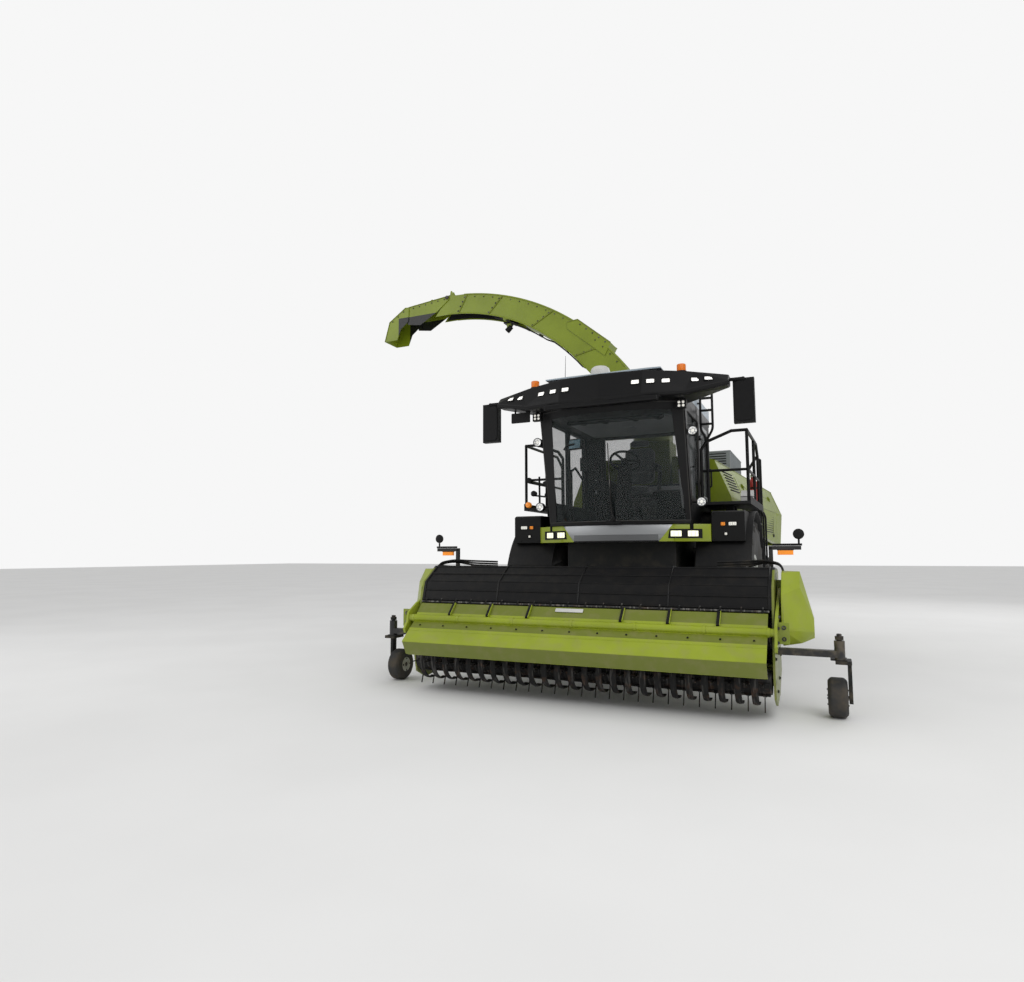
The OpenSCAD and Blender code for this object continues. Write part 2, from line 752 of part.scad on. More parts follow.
module rear_door() color([0.14, 0.14, 0.14]) {
    on_rear_hinges() door_eye();
    difference() {
        block(
            [-hood_rear, -rear_door_y + door_gap, rear_door_low + door_gap],
            [-hood_rear + hood_wall, rear_door_y - door_gap, rear_door_high - door_gap]
        );
        for (y = [-rear_door_y + 90, 30])
            block([-hood_rear - 50, y, rear_door_low + 90], [-hood_rear + 100, y + rear_door_y - 120, rear_door_high - 90]);
    }
    for (i = [0 : 11]) {
        z = rear_door_low + 120 + i * 50;
        block([-hood_rear + 10, -rear_door_y + 80, z], [-hood_rear + 30, rear_door_y - 80, z + 16]);
    }
}

/* Spout, built along +X from its turning axis and then turned to the machine's right */

module spout_place() translate([-spout_x, 0, 0]) rotate([0, 0, -90]) children();

// Arcs of the spout's back and belly: centre and radius
back_arc = [3646, 2070, 4040];
belly_arc = [3720, 2318, 3455];
back_from = 144.4;
back_to = 91;
belly_from = 141.7;
belly_to = 88;
arc_steps = 12;

function arc_points(arc, a0, a1) = [
    for (i = [0 : arc_steps]) let (a = a0 + (a1 - a0) * i / arc_steps)
        [arc[0] + arc[2] * cos(a), arc[1] + arc[2] * sin(a)]
];

back_line = arc_points(back_arc, back_from, back_to);
belly_line = arc_points(belly_arc, belly_from, belly_to);
foot_back = [lift_r - 480, lift_z + 190];
foot_belly = [lift_r - 20, lift_z + 30];

// Side outline of the arm
module arm_outline() polygon(concat(
    [foot_belly, foot_back], back_line, [for (i = [0 : arc_steps]) belly_line[arc_steps - i]]
));

// The arm's inside, open along its belly from the middle of the arm outward
module arm_inside() polygon(concat(
    [for (p = [foot_belly]) p + [0, 40], foot_back + [45, 0]],
    [for (p = back_line) p - spout_t * [0.5, 1]],
    [[belly_line[arc_steps].x + 60, belly_line[arc_steps].y - 60]],
    [for (i = [0 : arc_steps]) let (p = belly_line[arc_steps - i]) (i < 7) ? p - [0, 20] : p + spout_t * [-0.7, 0.7]]
));

fold_hinge = [3600, 6080];
tip_hinge = [4440, 6000];
lift_pin = [lift_r + 30, lift_z - 200];
rod_pin = [lift_r + 480, lift_z + 700];
cylinder_y = spout_w / 2 + 65;
lug_in = spout_w / 2 + 6;
lug_t = 25;

// A pin or boss along Y at a point of the XZ plane, between two distances
module cross_pin(at, r, y0, y1) {
    translate([at.x, y1, at.y]) rotate([90, 0, 0]) cylinder(r = r, h = y1 - y0);
}

module spout_arm() color([0.55, 0.64, 0.12]) spout_place() difference() {
    union() {
        difference() {
            union() {
                profile_y(spout_w) arm_outline();
                // Raised cover over the fold
                profile_y(spout_w + 30) polygon([[600, 4850], [1150, 5310], [1330, 5290], [1330, 5180], [700, 4650]]);
            }
            profile_y(spout_w - 2 * spout_t) arm_inside();
        }
        cross_pin([lift_r, lift_z], 45, -spout_w / 2, spout_w / 2);
        for (side = [-1, 1]) cross_pin(rod_pin, 18, side * (spout_w / 2 + 48) - 48, side * (spout_w / 2 + 48) + 48);
        cross_pin(fold_hinge, 15, -spout_w / 2 - 16, spout_w / 2 + 16);
        // Bracket of the flap cylinder
        for (y = [-40, 30]) translate([0, y + 5, 0]) profile_y(10) polygon([
            [3440, 6080], [3600, 6080], [3622, 6190], [3612, 6250], [3585, 6255], [3560, 6200]
        ]);
        cross_pin(flap_barrel_pin, 12, -40, 40);
        // Strap and camera under the belly
        block([2400, -spout_w / 2, 5510], [2500, spout_w / 2, 5550]);
        block([2420, -35, 5410], [2490, 35, 5511]);
    }
    cross_pin([lift_r, lift_z], 25 + fit_gap, -spout_w, spout_w);
}

module spout_turret() color([0.50, 0.58, 0.12]) spout_place() {
    translate([0, 0, ring_z + seat_gap]) cylinder(r = ring_r, h = 60);
    neck_foot = ring_z + seat_gap + 60;
    difference() {
        profile_y(spout_w - 20) polygon([
            [-ring_r + 60, neck_foot], [ring_r - 60, neck_foot], foot_belly - [0, 15], foot_back - [0, 15]
        ]);
        cross_pin([lift_r, lift_z], 60, -spout_w, spout_w);
    }
    for (side = [-1, 1]) {
        profile_y(lug_t, side * (lug_in + lug_t / 2)) polygon([
            [60, neck_foot], [lift_pin.x, neck_foot], lift_pin + [40, 0], lift_pin + [20, 40],
            [lift_r + 50, lift_z], [lift_r, lift_z + 50], [lift_r - 50, lift_z], [80, neck_foot + 60]
        ]);
        cross_pin(lift_pin, 18, side * (lug_in + 50) - 45, side * (lug_in + 50) + 45);
    }
    cross_pin([lift_r, lift_z], 25, -lug_in - 1, lug_in + 1);
}

// A hydraulic barrel in the XZ plane: eye at a, towards b, l long, at y, its bore as deep as depth
module barrel(a, b, l, r, pin_r, y, depth) {
    angle = atan2(b.y - a.y, b.x - a.x);
    translate([a.x, y, a.y]) rotate([0, -angle, 0]) difference() {
        union() {
            drum_y(pin_r + 16, 50);
            translate([pin_r, 0, 0]) rotate([0, 90, 0]) cylinder(r = r, h = l - pin_r);
        }
        drum_y(pin_r + fit_gap, 60);
        translate([l - depth, 0, 0]) rotate([0, 90, 0]) cylinder(r = 0.5 * r + fit_gap, h = depth + 80);
    }
}

// The barrel's rod: its eye at b with play round its pin, as deep in the barrel as depth
module rod(a, b, l, r, pin_r, play, y, depth) {
    angle = atan2(b.y - a.y, b.x - a.x);
    reach = norm(b - a);
    translate([b.x, y, b.y]) rotate([0, 180 - angle, 0]) difference() {
        union() {
            drum_y(pin_r + play + 14, 40);
            translate([pin_r + play, 0, 0]) rotate([0, 90, 0])
                cylinder(r = 0.5 * r, h = reach - l - pin_r - play + depth);
        }
        drum_y(pin_r + play, 60);
    }
}

lift_barrel_l = 640;
flap_barrel_pin = [3600, 6180];
flap_rod_pin = [4000, 6140];
flap_barrel_l = 235;

module spout_cylinders() color([0.20, 0.20, 0.20]) spout_place()
    for (side = [-1, 1]) barrel(lift_pin, rod_pin, lift_barrel_l, 30, 18, side * cylinder_y, 240);

module spout_rods() color([0.80, 0.80, 0.80]) spout_place()
    for (side = [-1, 1]) rod(lift_pin, rod_pin, lift_barrel_l, 30, 18, 9, side * cylinder_y, 150);

module flap_cylinder() color([0.20, 0.20, 0.20]) spout_place()
    barrel(flap_barrel_pin, flap_rod_pin, flap_barrel_l, 22, 12, 0, 180);

module flap_rod() color([0.80, 0.80, 0.80]) spout_place()
    rod(flap_barrel_pin, flap_rod_pin, flap_barrel_l, 22, 12, 14, 0, 115);

flap_in = spout_w / 2 + 6;
flap_out = flap_in + 8;
tip_in = flap_out + 6;
tip_out = tip_in + 8;

module spout_flap() color([0.55, 0.64, 0.12]) spout_place() difference() {
    union() {
        for (side = [-1, 1]) profile_y(8, side * (flap_in + 4)) polygon([
            [3565, 6115], [4440, 6030], [4475, 6000], [4420, 5700], [4160, 5660], [3800, 5860], [3565, 6040]
        ]);
        profile_y(2 * flap_in) polygon([[3645, 6110], [4400, 6035], [4399, 6023], [3645, 6098]]);
        for (y = [-40, 30]) translate([0, y + 5, 0]) profile_y(10) polygon([
            [3930, 6072], [4080, 6057], [4030, 6150], [4000, 6162], [3970, 6150]
        ]);
        cross_pin(flap_rod_pin, 12, -40, 40);
        cross_pin(tip_hinge, 12, -flap_out - 12, flap_out + 12);
    }
    cross_pin(fold_hinge, 15 + fit_gap, -spout_w, spout_w);
}

module spout_tip() color([0.55, 0.64, 0.12]) spout_place() difference() {
    union() {
        for (side = [-1, 1]) profile_y(8, side * (tip_in + 4)) polygon([
            [4405, 6020], [4470, 6028], [4820, 5800], [spout_reach, 5440], [4650, 5440], [4570, 5640],
            [4410, 5760], [4400, 5960]
        ]);
        profile_y(2 * tip_in) polygon([
            [4475, 6025], [4820, 5800], [spout_reach, 5440], [spout_reach - 12, 5440], [4810, 5790], [4475, 6010]
        ]);
    }
    cross_pin(tip_hinge, 12 + fit_gap, -spout_w, spout_w);
}

/* Header */

feeder_x = 500;
feeder_z = 1050;
feeder_y = 400;
wall_x = 1930;
wall_t = 30;
end_t = 20;
end_y = header_w / 2;
guard_pivot = [2150, 1120];
guard_tube = [2840, 800];
guard_tube_r = 38;
guard_in = end_y + end_t + 10;
guard_t = 25;
lift_low = [230, 720];
lift_high = [1300, 640];
ram_y = 505;
ram_l = 700;

module feeder() color([0.15, 0.15, 0.15]) difference() {
    union() {
        profile_y(2 * feeder_y) polygon([[570, 560], [570, 1180], [wall_x, 1060], [wall_x, 470]]);
        both_sides() profile_y(50, feeder_y - 25) polygon([
            [571, 1180], [480, 1145], [430, 1100], [405, 1050], [430, 990], [480, 955], [571, 940]
        ]);
        both_sides() cross_pin(lift_high, 22, feeder_y - 1, ram_y + 30);
    }
    both_sides() cross_pin([feeder_x, feeder_z], 40 + fit_gap, feeder_y - 60, feeder_y + 10);
}

module lift_cylinders() color([0.18, 0.18, 0.18]) both_sides()
    barrel(lift_low, lift_high, ram_l, 45, 22, ram_y, 200);

module lift_rods() color([0.80, 0.80, 0.80]) both_sides()
    rod(lift_low, lift_high, ram_l, 45, 22, 8, ram_y, 185);

// A bent sheet of thickness t along points, as a plane outline
module bent(points, t) {
    for (i = [0 : len(points) - 2]) {
        v = points[i + 1] - points[i];
        translate(points[i]) rotate(atan2(v.y, v.x)) translate([0, -t / 2]) square([norm(v), t]);
        translate(points[i]) circle(d = t, $fn = 12);
    }
}

module trough_ring() intersection() {
    difference() {
        circle(r = auger_r + 32, $fn = 90);
        circle(r = auger_r + 20, $fn = 90);
    }
    polygon([[0, 0], [-500, 0], [-500, -500], [135, -500]]);
}

module header_frame() color([0.52, 0.61, 0.12]) difference() {
    union() {
        difference() {
            block([wall_x, -end_y, 350], [wall_x + wall_t, end_y, 1330]);
            block([wall_x - 10, -feeder_y + 20, 480], [wall_x + wall_t + 10, feeder_y - 20, 1040]);
        }
        block([wall_x - 90, -end_y, 1190], [wall_x, end_y, 1310]);
        block([wall_x - 90, -end_y, 330], [wall_x, -feeder_y - 60, 430]);
        block([wall_x - 90, feeder_y + 60, 330], [wall_x, end_y, 430]);
        both_sides() profile_y(end_t, end_y + end_t / 2) polygon([
            [wall_x - 90, 1310], [wall_x, 1345], [2335, 1370], [2600, 1190], [2660, 980], [2740, 700],
            [2790, 420], [2740, 200], [2560, 110], [2200, 150], [wall_x - 90, 330]
        ]);
        translate([auger_x, 0, auger_z]) profile_y(2 * end_y) trough_ring();
        block([auger_x - 90, -end_y, 300], [auger_x + 10, end_y, 402]);
        both_sides() {
            cross_pin(guard_pivot, 25, end_y + end_t - 1, end_y + end_t + 45);
            // Arm and socket of the gauge wheel
            block([gauge_x - 40, end_y + end_t - 1, 560], [gauge_x + 40, gauge_y, 620]);
            translate([gauge_x, gauge_y, 540]) cylinder(r = 45, h = 170);
            // Post and arm of the width marker
            block([wall_x - 60, end_y - 60, 1310], [wall_x - 20, end_y - 20, 1580]);
            block([wall_x - 60, end_y - 60, 1540], [wall_x - 20, 2130, 1580]);
        }
    }
    both_sides() {
        translate([gauge_x, gauge_y, 500]) cylinder(r = 22 + fit_gap, h = 300);
        cross_pin([auger_x, auger_z], 40 + fit_gap, end_y - 1, end_y + end_t + 1);
        cross_pin([reel_x, reel_z], 30 + fit_gap, end_y - 1, end_y + end_t + 1);
    }
}

module header_cover() color([0.06, 0.06, 0.06]) {
    profile_y(2 * end_y) polygon([
        [wall_x, 1345], [2335, 1370], [2600, 1190], [2660, 980], [2645, 980], [2588, 1183], [2330, 1355],
        [wall_x + 35, 1330], [wall_x, 1330]
    ]);
}

module side_covers() color([0.62, 0.72, 0.14]) both_sides() {
    hull() {
        translate([0, 1960, 0]) rotate([90, 0, 0]) linear_extrude(height = 10, center = true) polygon([
            [2010, 1290], [2200, 1335], [2320, 1320], [2540, 1120], [2580, 800], [2420, 640], [2020, 640]
        ]);
        translate([0, 2110, 0]) rotate([90, 0, 0]) linear_extrude(height = 10, center = true) polygon([
            [2060, 1310], [2210, 1330], [2340, 1180], [2400, 820], [2330, 660], [2060, 660]
        ]);
        translate([0, 2220, 0]) rotate([90, 0, 0]) linear_extrude(height = 10, center = true) polygon([
            [2100, 880], [2230, 880], [2260, 760], [2210, 700], [2100, 700]
        ]);
    }
    block([2010, end_y + end_t, 760], [2080, 1956, 1240]);
}

flight_turns = 2.5;
flight_steps = 30;

// One flight round the Y axis from y = 0 to y = l, between two radii
module flight(r0, r1, l, t) polyhedron(
    points = [
        for (i = [0 : flight_steps]) let (a = 360 * flight_turns * i / flight_steps, y = l * i / flight_steps)
            for (c = [[r0, -t / 2], [r1, -t / 2], [r1, t / 2], [r0, t / 2]]) [c[0] * cos(a), y + c[1], c[0] * sin(a)]
    ],
    faces = concat(
        [[0, 1, 2], [0, 2, 3]],
        [for (i = [0 : flight_steps - 1]) for (k = [0 : 3]) let (b = 4 * i, n = (k + 1) % 4)
            each [[b + n, b + k, b + 4 + n], [b + 4 + n, b + k, b + 4 + k]]],
        [let (e = 4 * flight_steps) [e + 2, e + 1, e], let (e = 4 * flight_steps) [e + 3, e + 2, e]]
    )
);

module auger() color([0.20, 0.20, 0.19]) translate([auger_x, 0, auger_z]) {
    drum_y(150, 2 * end_y - 30);
    both_sides() cross_pin([0, 0], 40, end_y - 16, end_y + end_t);
    flight_l = end_y - 420;
    both_sides() translate([0, 400, 0]) flight(140, auger_r, flight_l, 16);
    for (a = [0 : 90 : 270]) rotate([0, a, 0]) block([140, -320, -8], [auger_r - 10, 320, 8]);
}

tine_rows = 5;
tines_per_row = 26;

module pickup_reel() color([0.22, 0.22, 0.21]) translate([reel_x, 0, reel_z]) {
    drum_y(110, 2 * end_y - 30);
    both_sides() cross_pin([0, 0], 30, end_y - 16, end_y + end_t);
    pitch = (2 * end_y - 160) / (tines_per_row - 1);
    for (row = [0 : tine_rows - 1]) rotate([0, row * 360 / tine_rows, 0])
        for (i = [0 : tines_per_row - 1])
            translate([0, -end_y + 80 + i * pitch, 0]) block([100, -5, -5], [reel_r, 5, 5]);
}

module crop_guard() color([0.62, 0.72, 0.14]) {
    guard_y = end_y - 30;
    cross_pin(guard_tube, guard_tube_r, -guard_in, guard_in);
    // Plate behind the tube, and the bent flap before it
    profile_y(2 * guard_y) {
        bent([[2705, 950], [2825, 825]], 8);
        bent([[2850, 770], [2975, 676]], 8);
        bent([[2940, 705], [3098, 570], [3020, 430], [2990, 425]], 10);
    }
    both_sides() difference() {
        profile_y(guard_t, guard_in + guard_t / 2) polygon([
            [2130, 1165], [2175, 1160], [2700, 960], [2880, 860], [2900, 760], [2960, 690], [2940, 640],
            [2800, 690], [2680, 860], [2110, 1080], [2100, 1130]
        ]);
        cross_pin(guard_pivot, 25 + fit_gap, guard_in - 1, guard_in + guard_t + 1);
    }
}

fork_trail = 120;
wheel_mid_y = gauge_y - 30;
fork_arm_y = wheel_mid_y + gauge_w / 2 + run_gap;

module gauge_fork() color([0.10, 0.10, 0.10]) {
    translate([gauge_x, gauge_y, 500]) cylinder(r = 22, h = 250);
    translate([gauge_x, gauge_y, 710 + run_gap]) cylinder(r = 36, h = 26);
    block([gauge_x - fork_trail - 40, gauge_y - 40, 500], [gauge_x + 40, gauge_out_y, 540 - run_gap]);
    block([gauge_x - fork_trail - 40, fork_arm_y, gauge_r - 45], [gauge_x - fork_trail + 40, gauge_out_y, 510]);
    cross_pin([gauge_x - fork_trail, gauge_r], 20, wheel_mid_y - gauge_w / 2, fork_arm_y + 1);
}

module gauge_wheel() color([0.10, 0.10, 0.10])
    translate([gauge_x - fork_trail, wheel_mid_y, gauge_r]) rotate([90, 0, 0])
        rotate_extrude() difference() {
            polygon([
                [20 + fit_gap, -gauge_w / 2 + 10], [gauge_r - 30, -gauge_w / 2], [gauge_r, -gauge_w / 2 + 30],
                [gauge_r, gauge_w / 2 - 30], [gauge_r - 30, gauge_w / 2], [20 + fit_gap, gauge_w / 2 - 10]
            ]);
        }

// Every piece is drawn in the machine's frame and shifted here
module whole() {
    translate([frame_x, frame_y, 0]) children();
}

whole() frame();
whole() crop_duct();
whole() engine();
whole() fuel_tank();
whole() radiator();
whole() front_axle();
whole() rear_axle();
whole() front_tyre_at(1);  // front_tyre_left
whole() front_rim_at(1);  // front_rim_left
whole() front_tyre_at(-1);  // front_tyre_right
whole() front_rim_at(-1);  // front_rim_right
whole() knuckle(1);  // knuckle_left
whole() knuckle(-1);  // knuckle_right
whole() rear_tyre_at(1);  // rear_tyre_left
whole() rear_rim_at(1);  // rear_rim_left
whole() rear_tyre_at(-1);  // rear_tyre_right
whole() rear_rim_at(-1);  // rear_rim_right
whole() cab_frame();
whole() cab_glass();
whole() cab_door();
whole() cab_roof();
whole() roof_visor();
whole() mirrors();
whole() cab_interior();
whole() seat_cushions();
whole() headlamp_bar();
whole() headlamps();
whole() platform();
whole() fenders();
whole() handrails();
whole() hood();
whole() hood_door_left();
whole() hood_door_right();
whole() rear_door();
whole() spout_turret();
whole() spout_arm();
whole() spout_flap();
whole() spout_tip();
whole() spout_cylinders();
whole() spout_rods();
whole() flap_cylinder();
whole() flap_rod();
whole() feeder();
whole() lift_cylinders();
whole() lift_rods();
whole() header_frame();
whole() header_cover();
whole() side_covers();
whole() auger();
whole() pickup_reel();
whole() crop_guard();
whole() gauge_fork();  // gauge_fork_left
whole() mirror([0, 1, 0]) gauge_fork();  // gauge_fork_right
whole() gauge_wheel();  // gauge_wheel_left
whole() mirror([0, 1, 0]) gauge_wheel();  // gauge_wheel_right
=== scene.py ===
import json
import math

import bmesh
import bpy
from mathutils import Matrix, Vector

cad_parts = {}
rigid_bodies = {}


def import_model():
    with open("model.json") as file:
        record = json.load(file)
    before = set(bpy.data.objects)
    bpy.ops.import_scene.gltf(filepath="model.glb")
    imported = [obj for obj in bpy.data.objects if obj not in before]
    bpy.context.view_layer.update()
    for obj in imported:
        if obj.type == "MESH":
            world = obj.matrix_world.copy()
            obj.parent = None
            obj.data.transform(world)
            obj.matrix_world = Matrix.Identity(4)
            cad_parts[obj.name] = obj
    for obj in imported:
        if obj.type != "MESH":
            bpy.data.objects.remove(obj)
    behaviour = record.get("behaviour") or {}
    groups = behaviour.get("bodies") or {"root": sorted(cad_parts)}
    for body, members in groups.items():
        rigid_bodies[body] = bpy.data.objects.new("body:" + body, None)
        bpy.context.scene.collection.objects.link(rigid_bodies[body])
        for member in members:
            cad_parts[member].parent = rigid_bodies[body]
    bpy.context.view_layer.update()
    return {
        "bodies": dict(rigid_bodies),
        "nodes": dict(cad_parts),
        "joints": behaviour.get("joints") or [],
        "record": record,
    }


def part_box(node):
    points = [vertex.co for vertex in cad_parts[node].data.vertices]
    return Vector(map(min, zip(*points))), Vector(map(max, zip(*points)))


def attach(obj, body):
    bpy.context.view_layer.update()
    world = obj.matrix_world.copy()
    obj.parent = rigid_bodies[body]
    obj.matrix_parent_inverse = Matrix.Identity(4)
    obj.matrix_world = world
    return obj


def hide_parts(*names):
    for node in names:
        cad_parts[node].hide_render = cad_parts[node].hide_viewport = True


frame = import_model()
nodes = frame["nodes"]

# The machine's own frame: front axle at x = 0, its middle at y = 0, floor at z = 0, in metres
front_low, front_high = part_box("front_tyre_left")
right_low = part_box("front_tyre_right")[0]
ORIGIN = Vector(((front_low.x + front_high.x) / 2, (front_high.y + right_low.y) / 2, 0))

# Camera of the photograph, in the machine's frame
CAMERA_PLACE = (9.3429, 2.3293, 1.5063)
CAMERA_YAW = 0.43026
CAMERA_PITCH = 0.09301
CAMERA_ROLL = -0.00297
CAMERA_LENS = 23.714


def make_camera():
    forward = Vector((
        -math.cos(CAMERA_YAW) * math.cos(CAMERA_PITCH),
        -math.sin(CAMERA_YAW) * math.cos(CAMERA_PITCH),
        math.sin(CAMERA_PITCH),
    ))
    level = forward.cross(Vector((0, 0, 1))).normalized()
    upright = level.cross(forward)
    right = level * math.cos(CAMERA_ROLL) + upright * math.sin(CAMERA_ROLL)
    up = upright * math.cos(CAMERA_ROLL) - level * math.sin(CAMERA_ROLL)
    turn = Matrix((right, up, -forward)).transposed().to_4x4()
    data = bpy.data.cameras.new("camera")
    data.lens = CAMERA_LENS
    data.clip_end = 200
    camera = bpy.data.objects.new("camera", data)
    camera.matrix_world = Matrix.Translation(ORIGIN + Vector(CAMERA_PLACE)) @ turn
    bpy.context.scene.collection.objects.link(camera)
    bpy.context.scene.camera = camera


make_camera()


# Materials


class Nodes:
    """The node tree of one material, with short calls for the nodes that it uses."""

    def __init__(self, name, colour, roughness, metallic=0.0):
        self.material = bpy.data.materials.new(name)
        self.material.use_nodes = True
        self.material.diffuse_color = (*colour, 1)
        self.tree = self.material.node_tree
        self.shader = self.tree.nodes["Principled BSDF"]
        self.set("Base Color", (*colour, 1))
        self.set("Roughness", roughness)
        self.set("Metallic", metallic)
        self.place = self.add("ShaderNodeTexCoord").outputs["Object"]

    def add(self, kind, **values):
        node = self.tree.nodes.new(kind)
        for key, value in values.items():
            setattr(node, key, value)
        return node

    def link(self, output, node, socket):
        self.tree.links.new(output, node.inputs[socket])

    def set(self, socket, value):
        self.shader.inputs[socket].default_value = value

    def noise(self, scale, detail=4.0, stretch=None):
        node = self.add("ShaderNodeTexNoise")
        node.inputs["Scale"].default_value = scale
        node.inputs["Detail"].default_value = detail
        place = self.place
        if stretch:
            mapping = self.add("ShaderNodeMapping")
            mapping.inputs["Scale"].default_value = stretch
            self.link(place, mapping, "Vector")
            place = mapping.outputs["Vector"]
        self.link(place, node, "Vector")
        return node.outputs["Fac"]

    def ramp(self, value, low, high, to_low=0.0, to_high=1.0):
        node = self.add("ShaderNodeMapRange")
        node.interpolation_type = "SMOOTHSTEP"
        for socket, number in (("From Min", low), ("From Max", high), ("To Min", to_low), ("To Max", to_high)):
            node.inputs[socket].default_value = number
        self.link(value, node, "Value")
        return node.outputs["Result"]

    def times(self, a, b):
        node = self.add("ShaderNodeMath", operation="MULTIPLY")
        self.link(a, node, 0)
        if isinstance(b, float):
            node.inputs[1].default_value = b
        else:
            self.link(b, node, 1)
        return node.outputs[0]

    def plus(self, a, b):
        node = self.add("ShaderNodeMath", operation="ADD", use_clamp=True)
        self.link(a, node, 0)
        self.link(b, node, 1)
        return node.outputs[0]

    def mix(self, factor, a, b):
        """A colour between a and b, each a colour or an output."""
        node = self.add("ShaderNodeMix", data_type="RGBA")
        self.link(factor, node, "Factor")
        for socket, value in ((6, a), (7, b)):
            if isinstance(value, tuple):
                node.inputs[socket].default_value = (*value, 1)
            else:
                self.link(value, node, socket)
        return node.outputs[2]

    def height(self):
        node = self.add("ShaderNodeSeparateXYZ")
        self.link(self.place, node, "Vector")
        return node.outputs["Z"]

    def facing_up(self):
        node = self.add("ShaderNodeSeparateXYZ")
        self.link(self.add("ShaderNodeNewGeometry").outputs["Normal"], node, "Vector")
        return node.outputs["Z"]

    def within(self, low, high, both=True):
        """One inside a box of the machine's frame, and in its mirror image if both, else zero."""
        parts = self.add("ShaderNodeSeparateXYZ")
        self.link(self.place, parts, "Vector")
        result = None
        for axis, a, b in zip("XYZ", low, high):
            shifted = self.add("ShaderNodeMath", operation="SUBTRACT")
            shifted.inputs[1].default_value = ORIGIN["XYZ".index(axis)]
            self.link(parts.outputs[axis], shifted, 0)
            value = shifted.outputs[0]
            if axis == "Y" and both:
                folded = self.add("ShaderNodeMath", operation="ABSOLUTE")
                self.link(value, folded, 0)
                value = folded.outputs[0]
            for kind, number in (("GREATER_THAN", a), ("LESS_THAN", b)):
                test = self.add("ShaderNodeMath", operation=kind)
                test.inputs[1].default_value = number
                self.link(value, test, 0)
                result = self.times(result, test.outputs[0]) if result else test.outputs[0]
        return result

    def bump(self, value, strength, distance):
        node = self.add("ShaderNodeBump")
        node.inputs["Strength"].default_value = strength
        node.inputs["Distance"].default_value = distance
        self.link(value, node, "Height")
        self.link(node.outputs["Normal"], self.shader, "Normal")


DUST = (0.30, 0.24, 0.15)


def coated(name, colour, roughness, dust=0.35, grain=0.0, grain_scale=300.0, coat=0.0, gloss=0.5,
           other=None, boxes=(), both=True):
    """A painted or moulded surface with cloudy wear, and dust low down and on what faces up."""
    n = Nodes(name, colour, roughness)
    n.set("Specular IOR Level", gloss)
    deep = tuple(0.86 * c for c in colour)
    clouds = n.noise(2.2, 6.0)
    tint = n.mix(n.ramp(clouds, 0.35, 0.7), colour, deep)
    for low, high in boxes:
        tint = n.mix(n.within(low, high, both), tint, other)
    patches = n.ramp(n.noise(9.0, 8.0), 0.42, 0.72)
    low = n.ramp(n.height(), 1.9, 0.3)
    up = n.ramp(n.facing_up(), 0.35, 0.95, 0.0, 0.35)
    cover = n.times(n.times(n.plus(low, up), patches), dust)
    n.link(n.mix(cover, tint, DUST), n.shader, "Base Color")
    rough = n.plus(n.ramp(n.noise(26.0, 5.0), 0.3, 0.8, roughness - 0.06, roughness + 0.08), n.times(cover, 0.5))
    n.link(rough, n.shader, "Roughness")
    n.set("Coat Weight", coat)
    n.set("Coat Roughness", 0.12)
    if grain:
        n.bump(n.noise(grain_scale, 2.0), grain, 0.001)
    return n.material


def worn(name, colour, bare, roughness, amount=0.5):
    """Dark metal with paint scraped to bare steel in streaks."""
    n = Nodes(name, colour, roughness, 0.7)
    streaks = n.ramp(n.noise(7.0, 9.0, (1.0, 6.0, 1.0)), 0.5, 0.66)
    rust = n.ramp(n.noise(14.0, 6.0), 0.5, 0.75)
    scraped = n.mix(n.times(streaks, amount), colour, bare)
    n.link(n.mix(n.times(rust, 0.35), scraped, (0.16, 0.08, 0.04)), n.shader, "Base Color")
    n.link(n.ramp(streaks, 0.0, 1.0, roughness + 0.15, roughness - 0.1), n.shader, "Roughness")
    n.bump(n.noise(90.0, 4.0), 0.25, 0.001)
    return n.material


def rubber(name):
    black = (0.028, 0.028, 0.028)
    n = Nodes(name, black, 0.82)
    dusty = n.ramp(n.noise(7.0, 8.0), 0.4, 0.72)
    low = n.ramp(n.height(), 1.3, 0.1, 0.25, 0.75)
    n.link(n.mix(n.times(dusty, low), black, (0.10, 0.082, 0.06)), n.shader, "Base Color")
    n.link(n.ramp(dusty, 0.0, 1.0, 0.72, 0.95), n.shader, "Roughness")
    n.bump(n.noise(160.0, 6.0), 0.3, 0.001)
    return n.material


def glazing(name, colour):
    n = Nodes(name, colour, 0.0)
    n.set("Transmission Weight", 1.0)
    n.set("IOR", 1.2)
    hazy = tuple(0.93 * c for c in colour)
    n.link(n.mix(n.ramp(n.noise(1.4, 5.0), 0.35, 0.75), colour, hazy), n.shader, "Base Color")
    return n.material


def tinted(name, colour, alpha):
    """Thin tinted glass that light passes straight through."""
    n = Nodes(name, colour, 0.03)
    hazy = tuple(0.8 * c for c in colour)
    n.link(n.mix(n.ramp(n.noise(1.4, 5.0), 0.35, 0.75), colour, hazy), n.shader, "Base Color")
    n.set("Alpha", alpha)
    return n.material


def door_skin(name, colour, pane, low, high):
    """A moulded frame round a clear pane that fills one box of the same solid."""
    n = Nodes(name, colour, 0.5)
    clear = n.within(low, high)
    frame = n.mix(n.ramp(n.noise(3.0, 6.0), 0.35, 0.7), colour, tuple(0.85 * c for c in colour))
    n.link(n.mix(clear, frame, pane), n.shader, "Base Color")
    n.link(n.ramp(clear, 0.0, 1.0, 0.5, 0.03), n.shader, "Roughness")
    n.link(n.ramp(clear, 0.0, 1.0, 1.0, CLEAR), n.shader, "Alpha")
    return n.material


def brushed(name, colour, roughness):
    n = Nodes(name, colour, roughness, 1.0)
    hair = n.noise(60.0, 3.0, (1.0, 0.04, 8.0))
    n.link(n.ramp(hair, 0.3, 0.7, roughness - 0.08, roughness + 0.12), n.shader, "Roughness")
    n.bump(hair, 0.06, 0.0005)
    return n.material


